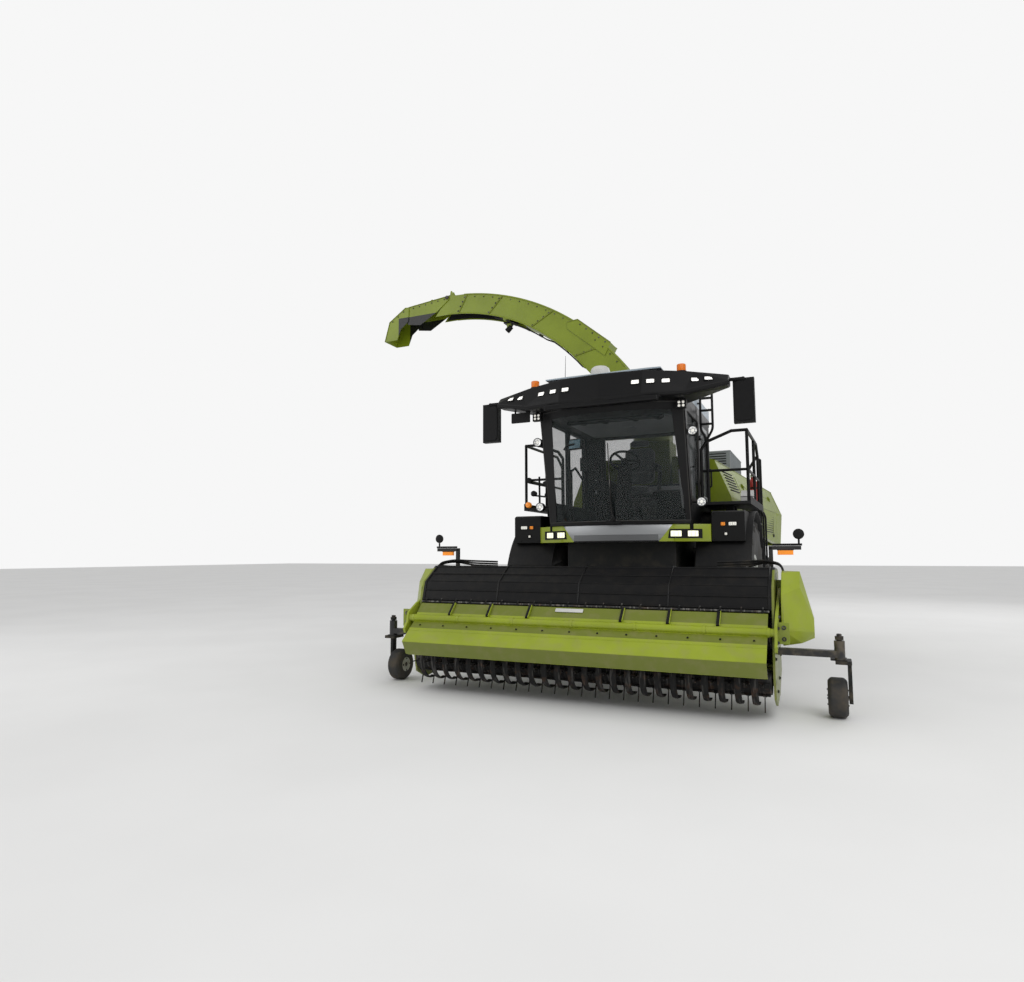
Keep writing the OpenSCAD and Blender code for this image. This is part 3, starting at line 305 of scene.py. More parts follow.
def lens(name, colour, glow, strength):
    """The front of a lit lamp, brighter at its ribs."""
    n = Nodes(name, colour, 0.15)
    n.set("Coat Weight", 1.0)
    n.set("Coat Roughness", 0.03)
    n.set("Emission Color", (*glow, 1))
    n.link(n.ramp(n.noise(70.0, 2.0), 0.3, 0.7, 0.75 * strength, strength), n.shader, "Emission Strength")
    n.bump(n.noise(120.0, 2.0), 0.3, 0.001)
    return n.material


def fabric(name, colour):
    n = Nodes(name, colour, 0.9)
    n.set("Sheen Weight", 0.35)
    weave = n.add("ShaderNodeTexWave", wave_type="BANDS", bands_direction="DIAGONAL")
    weave.inputs["Scale"].default_value = 90.0
    weave.inputs["Distortion"].default_value = 1.5
    n.link(n.place, weave, "Vector")
    pale = tuple(1.6 * c for c in colour)
    n.link(n.mix(n.ramp(weave.outputs["Fac"], 0.2, 0.8), colour, pale), n.shader, "Base Color")
    n.bump(weave.outputs["Fac"], 0.35, 0.001)
    return n.material


# Colours and paints that several materials share. The second green is the first darkened as painted shade, and the
# last paint is a lighter copy of the green as painted light
LIME, LIME_PAINTED_SHADE, PALE_GREY = (0.215, 0.275, 0.012), (0.17, 0.205, 0.016), (0.24, 0.26, 0.27)
TRIM_GREY, TINT, CLEAR = (0.33, 0.34, 0.35), (0.03, 0.04, 0.04), 0.22
GLOSSY = dict(colour=LIME, roughness=0.36, dust=0.22, coat=0.15, grain=0.05, grain_scale=900.0)
SHADED = dict(colour=LIME_PAINTED_SHADE, roughness=0.42, dust=0.35, coat=0.2, grain=0.05)
LIME_PAINTED_LIGHT = dict(colour=(0.30, 0.37, 0.016), roughness=0.34, dust=0.18, coat=0.15, grain=0.04)

GREEN = coated("green", **GLOSSY)
# Copies of the green: darker as painted shade, and lighter as painted light
GREEN_PAINTED_SHADE = coated("green_shaded", **SHADED)
GREEN_PAINTED_LIGHT = coated("green_bright", **LIME_PAINTED_LIGHT)
BLACK = coated("black_paint", (0.006, 0.006, 0.0065), 0.42, dust=0.03, gloss=0.25)
FRAME = coated("frame_paint", (0.015, 0.0155, 0.0155), 0.55, dust=0.25, grain=0.1, gloss=0.28)
PLASTIC = coated("black_plastic", (0.008, 0.008, 0.0085), 0.52, dust=0.06, grain=0.04, grain_scale=700.0, gloss=0.25)
INTERIOR = coated("cab_plastic", (0.010, 0.010, 0.0105), 0.6, dust=0.0, gloss=0.2)
CASING = coated("grey_casing", PALE_GREY, 0.5, dust=0.25, grain=0.2)
PANEL = coated("cab_trim", TRIM_GREY, 0.6, dust=0.05, grain=0.3, grain_scale=500.0)
SILVER = brushed("silver_trim", (0.42, 0.43, 0.44), 0.4)
# A darker copy of the silver, as painted shade
SILVER_PAINTED_SHADE = brushed("silver_shaded", (0.20, 0.205, 0.21), 0.45)
CHROME = brushed("chrome_rod", (0.75, 0.76, 0.77), 0.15)
REFLECTOR = brushed("lamp_reflector", (0.85, 0.86, 0.87), 0.2)
STEEL = worn("worn_steel", (0.06, 0.06, 0.06), (0.42, 0.40, 0.37), 0.5)
TINES = worn("tine_steel", (0.022, 0.022, 0.022), (0.16, 0.15, 0.14), 0.55, 0.3)
RUBBER = rubber("rubber")
HOSE = coated("hose_rubber", (0.012, 0.012, 0.012), 0.6, dust=0.25, grain=0.3, grain_scale=600.0, gloss=0.3)
RIM = coated("rim_paint", (0.42, 0.43, 0.40), 0.45, dust=0.55, grain=0.08)
GLASS = tinted("cab_glass", TINT, CLEAR)
DOOR = door_skin("door_skin", TRIM_GREY, TINT, (-0.198, 0.5, 2.268), (0.318, 1.2, 3.148))
LAMP_GLASS = glazing("lamp_glass", (0.95, 0.95, 0.95))
MIRROR = brushed("mirror_glass", (0.80, 0.83, 0.86), 0.1)
LIT = lens("lit_lens", (0.9, 0.9, 0.88), (1.0, 0.97, 0.9), 1.1)
LIT_SOFT = lens("soft_lens", (0.85, 0.85, 0.8), (1.0, 0.95, 0.85), 0.35)
HEADLIGHT = lens("headlight_lens", (0.9, 0.92, 0.8), (1.0, 1.0, 0.6), 0.95)
SCREEN = lens("monitor_screen", (0.03, 0.05, 0.06), (0.35, 0.55, 0.65), 0.35)
AMBER = lens("amber_lens", (0.85, 0.26, 0.01), (1.0, 0.3, 0.02), 0.35)
BEACON = lens("beacon_dome", (0.62, 0.16, 0.01), (0.9, 0.22, 0.02), 0.25)
RED = coated("red_paint", (0.42, 0.02, 0.012), 0.35, dust=0.12, coat=0.3)
RED_LENS = lens("red_lens", (0.5, 0.01, 0.01), (0.9, 0.02, 0.02), 0.2)
WHITE = coated("white_plastic", (0.62, 0.62, 0.60), 0.45, dust=0.15, grain=0.1)
# Paints of solids that show a second colour inside boxes of the machine's frame
HOOD = coated("hood_paint", **GLOSSY, other=PALE_GREY, boxes=[((-3.31, 0.515, 2.7), (-1.74, 1.055, 4))], both=False)
# The header is painted in the green's darker copy as painted shade; its second colour is near-black on the ends and
# the upper corners
HEADER = coated("header_paint", **SHADED, other=(0.012, 0.012, 0.013),
                boxes=[((1, 1.9055, 0), (4, 3, 2)), ((1, 1.7, 1.346), (4, 3, 2))])
SPOUT_END = coated("spout_paint", **GLOSSY, other=(0.012, 0.012, 0.012), boxes=[((-1.3, 3.5, 5), (-0.7, 4.62, 5.84))])
# The crop guard is painted in the green's lighter copy as painted light, darkened as painted shade on its face-down
# lower part, on the plate above the tube and on the upper flap
GUARD_LIT_AND_SHADED = coated("guard_painted_light_and_shade", **LIME_PAINTED_LIGHT, other=(0.15, 0.18, 0.014),
               boxes=[((2.9, -1, 0), (4, 1.86, 0.566)), ((2.69, -1, 0.82), (2.80, 1.86, 0.975)),
                      ((2.86, -1, 0.69), (2.95, 1.86, 0.762))])
ROOF_RIM = coated("roof_paint", (0.36, 0.43, 0.49), 0.4, dust=0.12, grain=0.08, coat=0.2,
                  other=(0.009, 0.009, 0.0095), boxes=[((-1, -1, 3), (2, 2, 3.39))])
CUSHION = fabric("seat_fabric", (0.045, 0.047, 0.05))
MESH = coated("grille_black", (0.01, 0.01, 0.01), 0.6, dust=0.4, grain=0.2)


# Mesh helpers. Every place is in the machine's frame, in metres.

AHEAD, BEHIND, LEFT, RIGHT, UP = (1, 0, 0), (-1, 0, 0), (0, 1, 0), (0, -1, 0), (0, 0, 1)
SIDES = (("left", 1), ("right", -1))
BEND_STEPS = 5


def turned(axis):
    """A rotation that takes +Z to the axis."""
    return Vector(axis).to_track_quat("Z", "Y").to_matrix().to_4x4()


def at(place, axis):
    return Matrix.Translation(Vector(place)) @ turned(axis)


def shift(x=0, y=0, z=0):
    return Matrix.Translation((x, y, z))


def sideways(y, x=0, z=0):
    """A matrix whose X looks ahead, whose Y runs up and whose Z runs to the left from y."""
    return Matrix(((1, 0, 0, x), (0, 0, 1, y), (0, 1, 0, z), (0, 0, 0, 1)))


def plane(place, ahead):
    """A matrix at a place whose Z looks ahead and whose Y runs up."""
    z = Vector(ahead).normalized()
    x = Vector(UP).cross(z).normalized()
    return Matrix.Translation(Vector(place)) @ Matrix((x, z.cross(x), z)).transposed().to_4x4()


def mirrored(sign):
    """A matrix that keeps the left side, or takes it to the right if the sign is below zero."""
    return Matrix.Diagonal((1, sign, 1, 1))


def around(count, start=0.0):
    """Even angles of a full turn, the first one a part of a step away from zero."""
    return [2 * math.pi * (k + start) / count for k in range(count)]


def circle(place, radius, count, start=0.0):
    """Places round the machine's Y axis at one distance from a centre."""
    x, y, z = place
    return [(x + radius * math.cos(a), y, z + radius * math.sin(a)) for a in around(count, start)]


def strip(surface, start, end, under, over):
    """One ring of a thin strip on a surface, from one (y, z) to another, between two heights over it."""
    return [surface(*start, under), surface(*start, over), surface(*end, over), surface(*end, under)]


class Piece:
    """One mesh piece under construction, with a list of materials."""

    def __init__(self, name, body, *materials, matrix=Matrix.Identity(4), both=False):
        self.name, self.body, self.materials = name, body, materials
        self.matrix, self.both = matrix, both
        self.bm = bmesh.new()

    def skin(self, points, faces, mat):
        """Adds points and faces, and their mirror across the machine's middle where both sides are made."""
        for side in ((1, -1) if self.both else (1,)):
            verts = []
            for p in points:
                q = self.matrix @ Vector(p)
                verts.append(self.bm.verts.new((q.x, side * q.y, q.z)))
            for f in faces:
                face = self.bm.faces.new([verts[i] for i in (f if side > 0 else reversed(f))])
                face.material_index = mat
        return self

    def rings(self, rings, mat=0, closed=False, caps=True):
        """Skin over rings of points; closed joins the last ring to the first."""
        n = len(rings[0])
        points = [p for ring in rings for p in ring]
        faces = []
        for i in range(len(rings) if closed else len(rings) - 1):
            j = (i + 1) % len(rings)
            for k in range(n):
                m = (k + 1) % n
                faces.append((i * n + k, i * n + m, j * n + m, j * n + k))
        if caps and not closed:
            faces.append(tuple(reversed(range(n))))
            faces.append(tuple((len(rings) - 1) * n + k for k in range(n)))
        return self.skin(points, faces, mat)

    def tube(self, points, radius, sides=12, mat=0, closed=False, flat=1.0, bend=0.0):
        """A round bar along points; flat squeezes it sideways, bend rounds its corners."""
        path = bent_path(points, bend) if bend else [Vector(p) for p in points]
        rings, normal = [], None
        count = len(path)
        for i, p in enumerate(path):
            ahead = path[(i + 1) % count] if closed or i + 1 < count else p
            behind = path[i - 1] if closed or i else p
            along = (ahead - behind).normalized()
            if normal is None:
                normal = along.orthogonal().normalized()
            normal = (normal - along * normal.dot(along)).normalized()
            side = along.cross(normal)
            rings.append([
                p + (normal * math.cos(a) + side * math.sin(a) * flat) * radius
                for a in around(sides)
            ])
        return self.rings(rings, mat, closed=closed)

    def span(self, x, z, reach, radius, sides=12, mat=0):
        """A round bar across the machine, as far to the right as to the left."""
        return self.tube([(x, -reach, z), (x, reach, z)], radius, sides, mat)

    def lathe(self, profile, place, axis=UP, sides=48, mat=0, caps=True):
        """A turned shape; the profile's columns are distance along the axis and radius."""
        m = at(place, axis)
        rings = [
            [m @ Vector((r * math.cos(a), r * math.sin(a), h)) for a in around(sides)]
            for h, r in profile
        ]
        return self.rings(rings, mat, caps=caps)

    def prism(self, outline, depth, frame_matrix, mat=0):
        """An outline in the frame's XY plane, from 0 to depth along its Z."""
        low = [frame_matrix @ Vector((x, y, 0)) for x, y in outline]
        high = [frame_matrix @ Vector((x, y, depth)) for x, y in outline]
        return self.rings([low, high], mat)

    def slab(self, w, h, r, depth, frame_matrix, mat=0):
        """A plate with rounded corners."""
        return self.prism(rounded(w, h, r), depth, frame_matrix, mat)

    def block(self, low, high, mat=0):
        x0, y0, z0 = low
        x1, y1, z1 = high
        return self.prism([(x0, y0), (x1, y0), (x1, y1), (x0, y1)], z1 - z0, shift(0, 0, z0), mat)

    def hex(self, place, axis, size, height, mat=0):
        """A bolt's head with its washer."""
        self.lathe([(0, size * 0.75), (height * 0.25, size * 0.75)], place, axis, 12, mat)
        return self.lathe([(0, size * 0.5), (height, size * 0.5), (height * 1.15, size * 0.38)], place, axis, 6, mat)

    def done(self, bevel=0.0, smooth=38, slot=None):
        bmesh.ops.remove_doubles(self.bm, verts=self.bm.verts, dist=1e-6)
        bmesh.ops.recalc_face_normals(self.bm, faces=self.bm.faces)
        for face in self.bm.faces:
            face.smooth = True
        for edge in self.bm.edges:
            edge.smooth = len(edge.link_faces) == 2 and edge.calc_face_angle(0) < math.radians(smooth)
        mesh = bpy.data.meshes.new(self.name)
        bmesh.ops.translate(self.bm, verts=self.bm.verts, vec=ORIGIN)
        self.bm.to_mesh(mesh)
        self.bm.free()
        for material in self.materials:
            mesh.materials.append(material)
        piece = bpy.data.objects.new(self.name, mesh)
        bpy.context.scene.collection.objects.link(piece)
        if bevel:
            add_bevel(piece, bevel)
        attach(piece, self.body)
        return piece


def add_bevel(piece, width, angle=40):
    bevel = piece.modifiers.new("bevel", "BEVEL")
    bevel.width = width
    bevel.segments = 2
    bevel.limit_method = "ANGLE"
    bevel.angle_limit = math.radians(angle)
    bevel.use_clamp_overlap = True


def arc(centre, radius, start, end, steps):
    """Points on an arc in a plane, angles in degrees."""
    return [
        (centre[0] + radius * math.cos(math.radians(a)), centre[1] + radius * math.sin(math.radians(a)))
        for a in (start + (end - start) * i / steps for i in range(steps + 1))
    ]


def bent_path(points, radius):
    """A polyline with its corners rounded."""
    path = [Vector(p) for p in points]
    result = [path[0]]
    for before, corner, after in zip(path, path[1:], path[2:]):
        r = min(radius, (before - corner).length * 0.45, (after - corner).length * 0.45)
        a = corner + (before - corner).normalized() * r
        b = corner + (after - corner).normalized() * r
        for i in range(BEND_STEPS + 1):
            t = i / BEND_STEPS
            result.append(a.lerp(corner, t).lerp(corner.lerp(b, t), t))
    return result + [path[-1]]


# CAD nodes that keep their own shape, by their material and bevel in metres
# Of these, the crop duct takes the green's darker copy as painted shade, and the headlamps and side covers its
# lighter copy as painted light
KEPT = (
    (FRAME, 0.004, "platform"), (FRAME, 0.005, "gauge_fork_left", "gauge_fork_right"),
    (FRAME, 0.006, "frame", "knuckle_left", "knuckle_right"), (FRAME, 0.008, "front_axle", "rear_axle"),
    (FRAME, 0.01, "feeder"), (FRAME, 0.02, "engine"), (BLACK, 0, "handrails"), (BLACK, 0.006, "header_cover"),
    (BLACK, 0.002, "spout_cylinders", "flap_cylinder", "lift_cylinders"), (BLACK, 0.008, "cab_frame"),
    (BLACK, 0.02, "roof_visor"), (PLASTIC, 0.004, "fenders", "rear_door"), (PLASTIC, 0.02, "mirrors"),
    (PLASTIC, 0.04, "fuel_tank"), (MESH, 0.01, "radiator"), (INTERIOR, 0.008, "cab_interior"),
    (GLASS, 0, "cab_glass"), (DOOR, 0.004, "cab_door"), (SILVER, 0.008, "headlamp_bar"),
    (GREEN, 0.005, "spout_turret"), (GREEN, 0.006, "spout_arm"), (GREEN, 0.008, "hood_door_left", "hood_door_right"),
    (GREEN_PAINTED_SHADE, 0.01, "crop_duct"), (GREEN_PAINTED_LIGHT, 0.008, "headlamps"), (GREEN_PAINTED_LIGHT, 0.02, "side_covers"),
    (HOOD, 0.018, "hood"), (SPOUT_END, 0.002, "spout_flap", "spout_tip"), (ROOF_RIM, 0.03, "cab_roof"),
    (HEADER, 0.006, "header_frame"), (GUARD_LIT_AND_SHADED, 0.003, "crop_guard"), (STEEL, 0.002, "auger"),
    (TINES, 0.001, "pickup_reel"), (CHROME, 0.001, "spout_rods", "flap_rod", "lift_rods"),
    (RIM, 0.006, "front_rim_left", "front_rim_right", "rear_rim_left", "rear_rim_right"),
    (RUBBER, 0.01, "gauge_wheel_left", "gauge_wheel_right"),
    (RUBBER, 0, "front_tyre_left", "front_tyre_right", "rear_tyre_left", "rear_tyre_right"),
)


def dress_cad_nodes():
    for material, width, *names in KEPT:
        for name in names:
            node = nodes[name]
            node.data.materials.clear()
            node.data.materials.append(material)
            if width:
                node.modifiers.new("weld", "WELD").merge_threshold = 0.00005
                add_bevel(node, width, 30)


dress_cad_nodes()


# Wheels

def lug(piece, r, w, lug_h, start, side):
    """One bar of the tread, from the tyre's middle out over its shoulder, leaning as it goes."""
    steps = 6
    rings = []
    for i in range(steps + 1):
        t = i / steps
        y = side * (-0.02 + t * (w / 2 + 0.015))
        lean = start + 0.30 * t ** 1.15
        drop = 0.032 * max(0.0, t - 0.55) ** 2 / 0.2
        top = r - drop - (0.03 * t ** 8)
        foot = top - lug_h - 0.02 - 0.05 * t ** 6
        half_top, half_foot = 0.021 / r, 0.034 / r
        rings.append([
            (foot * math.cos(lean - half_foot), y, foot * math.sin(lean - half_foot)),
            (top * math.cos(lean - half_top), y, top * math.sin(lean - half_top)),
            (top * math.cos(lean + half_top), y, top * math.sin(lean + half_top)),
            (foot * math.cos(lean + half_foot), y, foot * math.sin(lean + half_foot)),
        ])
    piece.rings(rings)


def tyre(node, body, rim_node, lugs, lug_h):
    low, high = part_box(node)
    centre = (low + high) / 2 - ORIGIN
    r, w = (high.z - low.z) / 2, high.y - low.y
    rim_low, rim_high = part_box(rim_node)
    rim_r = (rim_high.z - rim_low.z) / 2
    piece = Piece(node + "_dressed", body, RUBBER, matrix=Matrix.Translation(centre))
    crown = r - lug_h
    # Half of the tyre's section: distance from its middle, radius
    half = [
        (0.0, crown), (w * 0.25, crown - 0.004), (w * 0.38, crown - 0.02), (w * 0.455, crown - 0.055),
        (w * 0.49, crown - 0.11), (w * 0.5, crown - 0.17), (w * 0.497, (crown + rim_r) / 2),
        (w * 0.47, rim_r + 0.07), (w * 0.45, rim_r + 0.045), (w * 0.45, rim_r + 0.03), (w * 0.43, rim_r + 0.012),
        (w * 0.40, rim_r + 0.002), (w * 0.36, rim_r + 0.001)
    ]
    section = [(-y, q) for y, q in reversed(half)] + half[1:]
    rings = [
        [(q * math.cos(a), y, q * math.sin(a)) for y, q in section]
        for a in around(96)
    ]
    piece.rings(rings, closed=True, caps=False)
    for i in range(lugs):
        for side, shifted in ((-1, 0.0), (1, 0.5)):
            lug(piece, r, w, lug_h, 2 * math.pi * (i + shifted) / lugs, side)
    dressed = piece.done(smooth=35, slot="tyre")
    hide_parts(node)


def wheels():
    for side in ("left", "right"):
        tyre("front_tyre_" + side, "front_wheel_" + side, "front_rim_" + side, 16, 0.045)
        tyre("rear_tyre_" + side, "rear_wheel_" + side, "rear_rim_" + side, 14, 0.038)


wheels()


# The cab's walls, its bowed screen and the lamp bar, as in the part

HALF, CAB_Z, CAB_TOP, DECK = 0.92, 1.8, 3.3, 2.16
SCREEN_RUN, SCREEN_RISE, SCREEN_R = 0.35, 1.5, 1.8955
SCREEN_LEAN = math.atan(SCREEN_RUN / SCREEN_RISE)
SCREEN_LOW, SCREEN_TALL, SCREEN_EDGE = 1.9, 1.39, 0.90
WINDOW_LOW, WINDOW_HIGH = 2.175, 3.21
BAR_X, BAR_R = -0.61, 1.9
WALL = sideways(HALF, 0, CAB_Z)


def front_at(z):
    return 1.05 + (z - CAB_Z) * SCREEN_RUN / SCREEN_RISE


def on_screen(y, z, out=0.0):
    """A point on the windscreen, or out in front of it."""
    bow = 0.23 - SCREEN_R + math.sqrt((SCREEN_R + 0.008) ** 2 - y * y) + out
    up = (z - CAB_Z + bow * math.sin(SCREEN_LEAN)) / math.cos(SCREEN_LEAN)
    return (front_at(CAB_Z) + bow * math.cos(SCREEN_LEAN) + up * math.sin(SCREEN_LEAN), y, z)


def on_bar(y, z, out=0.0):
    """A point on the lamp bar's front, or out in front of it."""
    return (BAR_X + math.sqrt((BAR_R + out) ** 2 - y * y), y, z)


def pair(name, body, *materials, **more):
    """A piece made on both sides of the machine."""
    return Piece(name, body, *materials, both=True, **more)


def rounded(w, h, r, steps=4):
    """Outline of a rectangle round the origin with rounded corners."""
    points = []
    x, y = w / 2 - r, h / 2 - r
    for centre, start in (((x, y), 0), ((-x, y), 90), ((-x, -y), 180), ((x, -y), 270)):
        points += arc(centre, r, start, start + 90, steps)
    return points


# Front of the visor: distance from the centreline, front edge, underside and top over the cab's top
VISOR = ((0.0, 1.85, 0.0, 0.345), (0.5, 1.82, 0.0, 0.34), (0.95, 1.72, 0.0, 0.30), (1.44, 1.59, 0.1, 0.23))


def on_visor(y, height):
    """A matrix on the visor's sloping front whose Z looks outward."""
    for a, b in zip(VISOR, VISOR[1:]):
        if a[0] <= y <= b[0]:
            t = (y - a[0]) / (b[0] - a[0])
            front, under, top = (p + (q - p) * t for p, q in zip(a[1:], b[1:]))
            turn = math.atan2(a[1] - b[1], b[0] - a[0])
    low = under + 0.04
    x = front - 0.1 * (height - low) / (top - low)
    lean = math.atan2(0.1, top - low)
    ahead = (math.cos(lean) * math.cos(turn), math.cos(lean) * math.sin(turn), math.sin(lean))
    return plane((x, y, CAB_TOP + height), ahead)


def lamp_face(piece, place, w, h, bezel=0, glass=1, ribs=4):
    """A rectangular lamp's rim and its ribbed front, at a matrix whose Z looks outward."""
    outer, inner = rounded(w, h, 0.012), rounded(w - 0.02, h - 0.02, 0.007)
    place_of = [(outer, 0.0), (outer, 0.006), (inner, 0.006), (inner, 0.001)]
    piece.rings([[place @ Vector((x, y, z)) for x, y in line] for line, z in place_of], bezel, caps=False)
    count = len(inner)
    low = [place @ Vector((x, y, 0.0015)) for x, y in inner]
    swell = [place @ Vector((0.75 * x, 0.75 * y, 0.005)) for x, y in inner]
    piece.rings([low, swell], glass, caps=False)
    piece.skin(swell, [tuple(range(count))], glass)
    end, half_rib = h / 2 - 0.016, 0.0015
    for i in range(ribs):
        x = (i + 1) * w / (ribs + 1) - w / 2
        a, b = x - half_rib, x + half_rib
        piece.prism([(a, -end), (b, -end), (b, end), (a, end)], 0.0065, place, bezel)


def lamp_faces(piece, x, ahead, lamps):
    """Lamps on one flat face, each with its y, z, width, height, material and number of ribs."""
    for y, z, w, h, glass, ribs in lamps:
        lamp_face(piece, plane((x, y, z), ahead), w, h, 0, glass, ribs)


def cab_lamps():
    piece = pair("led_lamps", "chassis", PLASTIC, LIT)
    for y, height in ((0.43, 0.185), (0.60, 0.185), (0.77, 0.18), (1.09, 0.175), (1.23, 0.175)):
        m = on_visor(y, height) @ shift(0, 0, 0.010 if y > 1.2 else 0.0)
        piece.slab(0.124, 0.082, 0.02, 0.0035, m)
        lamp_face(piece, m @ shift(0, 0, 0.0035), 0.108, 0.070, ribs=5)
    piece.done(0.0008, slot="lamp")

    # Flat panel under the visor on the machine's right
    piece = Piece("visor_panel", "chassis", BLACK, PLASTIC)
    piece.slab(0.26, 0.13, 0.012, 0.012, plane((1.50, -1.14, 3.315 - 0.065), AHEAD))
    for y in (-1.22, -1.06):
        piece.block((1.49, y - 0.01, 3.24), (1.50, y + 0.01, 3.38), 1)
    piece.done(0.001, slot="black")

    piece = pair("square_lamps", "chassis", PLASTIC, LIT_SOFT, BLACK)
    piece.block((1.475, 0.848, 3.185), (1.535, 0.962, 3.285))
    for dy in (-0.024, 0.024):
        for dz in (-0.02, 0.02):
            spot = (1.536, 0.905 + dy, 3.235 + dz)
            piece.lathe([(-0.002, 0.021), (0.003, 0.021), (0.003, 0.017)], spot, AHEAD, 20, caps=False)
            piece.lathe([(0.0, 0.017), (0.004, 0.013), (0.005, 0.004)], spot, AHEAD, 20, 1)
    piece.block((1.49, 0.885, 3.284), (1.52, 0.925, 3.3005), 2)
    for i in range(4):
        piece.block((1.468, 0.866, 3.215 + 0.018 * i), (1.4755, 0.944, 3.221 + 0.018 * i))
    piece.done(0.0015, slot="lamp")

    piece = pair("round_lamps", "chassis", PLASTIC, REFLECTOR, LIT_SOFT, BLACK)
    for x, y, z in ((1.26, 0.99, 2.95), (1.07, 1.04, 2.12)):
        centre = Vector((x + 0.05, y, z))
        piece.lathe([(-0.09, 0.018), (-0.086, 0.04), (-0.06, 0.053), (0.0, 0.0555)], centre, AHEAD, 40)
        piece.lathe([(-0.004, 0.0555), (0.008, 0.0585), (0.012, 0.056), (0.012, 0.05), (0.004, 0.049)], centre,
                    AHEAD, 40, caps=False)
        piece.lathe([(0.006, 0.05), (0.001, 0.036), (0.0006, 0.012)], centre, AHEAD, 40, 1, caps=False)
        piece.lathe([(0.0012, 0.020), (0.006, 0.017), (0.008, 0.008)], centre, AHEAD, 24, 2)
        for turn in around(6):
            spot = centre + Vector((0.0015, 0.036 * math.cos(turn), 0.036 * math.sin(turn)))
            piece.lathe([(0, 0.009), (0.004, 0.007)], spot, AHEAD, 12, 2)
        for i in range(5):
            piece.lathe([(0, 0.0565), (0.004, 0.0565)], centre - Vector((0.02 + 0.011 * i, 0, 0)), AHEAD, 32)
        piece.tube([(x, HALF - 0.002, z), (x, y - 0.045, z)], 0.012, 12, 3)
        piece.slab(0.07, 0.07, 0.01, 0.006, sideways(HALF, x, z), 3)
    piece.done(0.0006, slot="lamp")

    piece = pair("beacons", "chassis", PLASTIC, BEACON)
    spot = (1.54, 0.92, 3.598)
    piece.lathe([(-0.012, 0.062), (0.012, 0.062), (0.018, 0.056)], spot, sides=48)
    rings = [(0.018, 0.0515)]
    for i in range(12):
        rings += [(0.02 + 0.006 * i, 0.0525), (0.023 + 0.006 * i, 0.0505)]
    rings += [(0.094, 0.0515), (0.0985, 0.046), (0.101, 0.03), (0.102, 0.008)]
    piece.lathe(rings, spot, sides=48, mat=1)
    piece.done()

    # Panels of the position lamps before the front wheels, carried by the fenders
    piece = pair("lamp_panels", "chassis", PLASTIC)
    outline = [(0.862, 1.65), (0.911, 1.65), (0.911, 2.0), (0.86, 2.02), (0.34, 2.02), (0.34, 2.0)]
    piece.prism(outline + [(0.85, 1.995), (0.862, 1.98)], 0.385, sideways(1.115))
    for y in (1.115, 1.49):
        piece.prism([(0.84, 1.65), (0.87, 1.65), (0.87, 2.0), (0.37, 2.0)], 0.01, sideways(y))
    piece.done(0.008)

    piece = pair("headlights", "chassis", GREEN_PAINTED_LIGHT, PLASTIC, HEADLIGHT)
    # Slanted green edge in the green's lighter copy as painted light, and the dark bed of the lamps, curved as the
    # bar
    steps = 10
    for mat, out, inner, outer, low, high in (
        (0, 0.004, (0.54, 0.70), (0.705, 0.705), 1.652, 1.858), (1, 0.006, (0.645, 0.665), (1.02, 1.02), 1.69, 1.80)
    ):
        rings = []
        for i in range(steps + 1):
            t = i / steps
            a, b = (e0 + (e1 - e0) * t for e0, e1 in zip(inner, outer))
            rings.append(strip(on_bar, (a, low), (b, high), -0.002, out))
        piece.rings(rings, mat)
    for y in (0.735, 0.92):
        lean = math.asin(y / BAR_R)
        lamp_face(piece, plane(on_bar(y, 1.745, 0.0065), (math.cos(lean), math.sin(lean), 0)), 0.15, 0.088, 1, 2, 2)
    piece.done(0.001, slot="lamp")

    piece = pair("position_lamps", "chassis", PLASTIC, LIT_SOFT, AMBER)
    lamp_faces(piece, 0.9115, AHEAD, (
        (1.36, 1.86, 0.11, 0.06, 1, 3), (1.25, 1.86, 0.07, 0.06, 2, 2), (1.28, 1.74, 0.05, 0.05, 1, 1)
    ))
    for y, z in ((1.15, 1.98), (1.405, 1.98), (1.15, 1.68), (1.405, 1.68)):
        piece.hex((0.911, y, z), AHEAD, 0.014, 0.006)
    piece.done(0.0008, slot="lamp")

    piece = Piece("lamp_bar_painted_shading", "chassis", SILVER_PAINTED_SHADE, SILVER, PLASTIC)
    # Lower strip of the bar darkened as painted shade, a bright line along its edge as a painted highlight, and a
    # dark strip below as a painted shadow in the gap
    for mat, z0, z1, out in ((0, 1.653, 1.735, 0.003), (1, 1.735, 1.742, 0.006), (2, 1.651, 1.664, 0.005)):
        rings = []
        for i in range(25):
            y = (i / 24 * 2 - 1) * (0.535 if z0 < 1.7 else 0.60)
            rings.append(strip(on_bar, (y, z0), (y, z1), -0.002, out))
        piece.rings(rings, mat)
    piece.done(0.001, slot="silver")


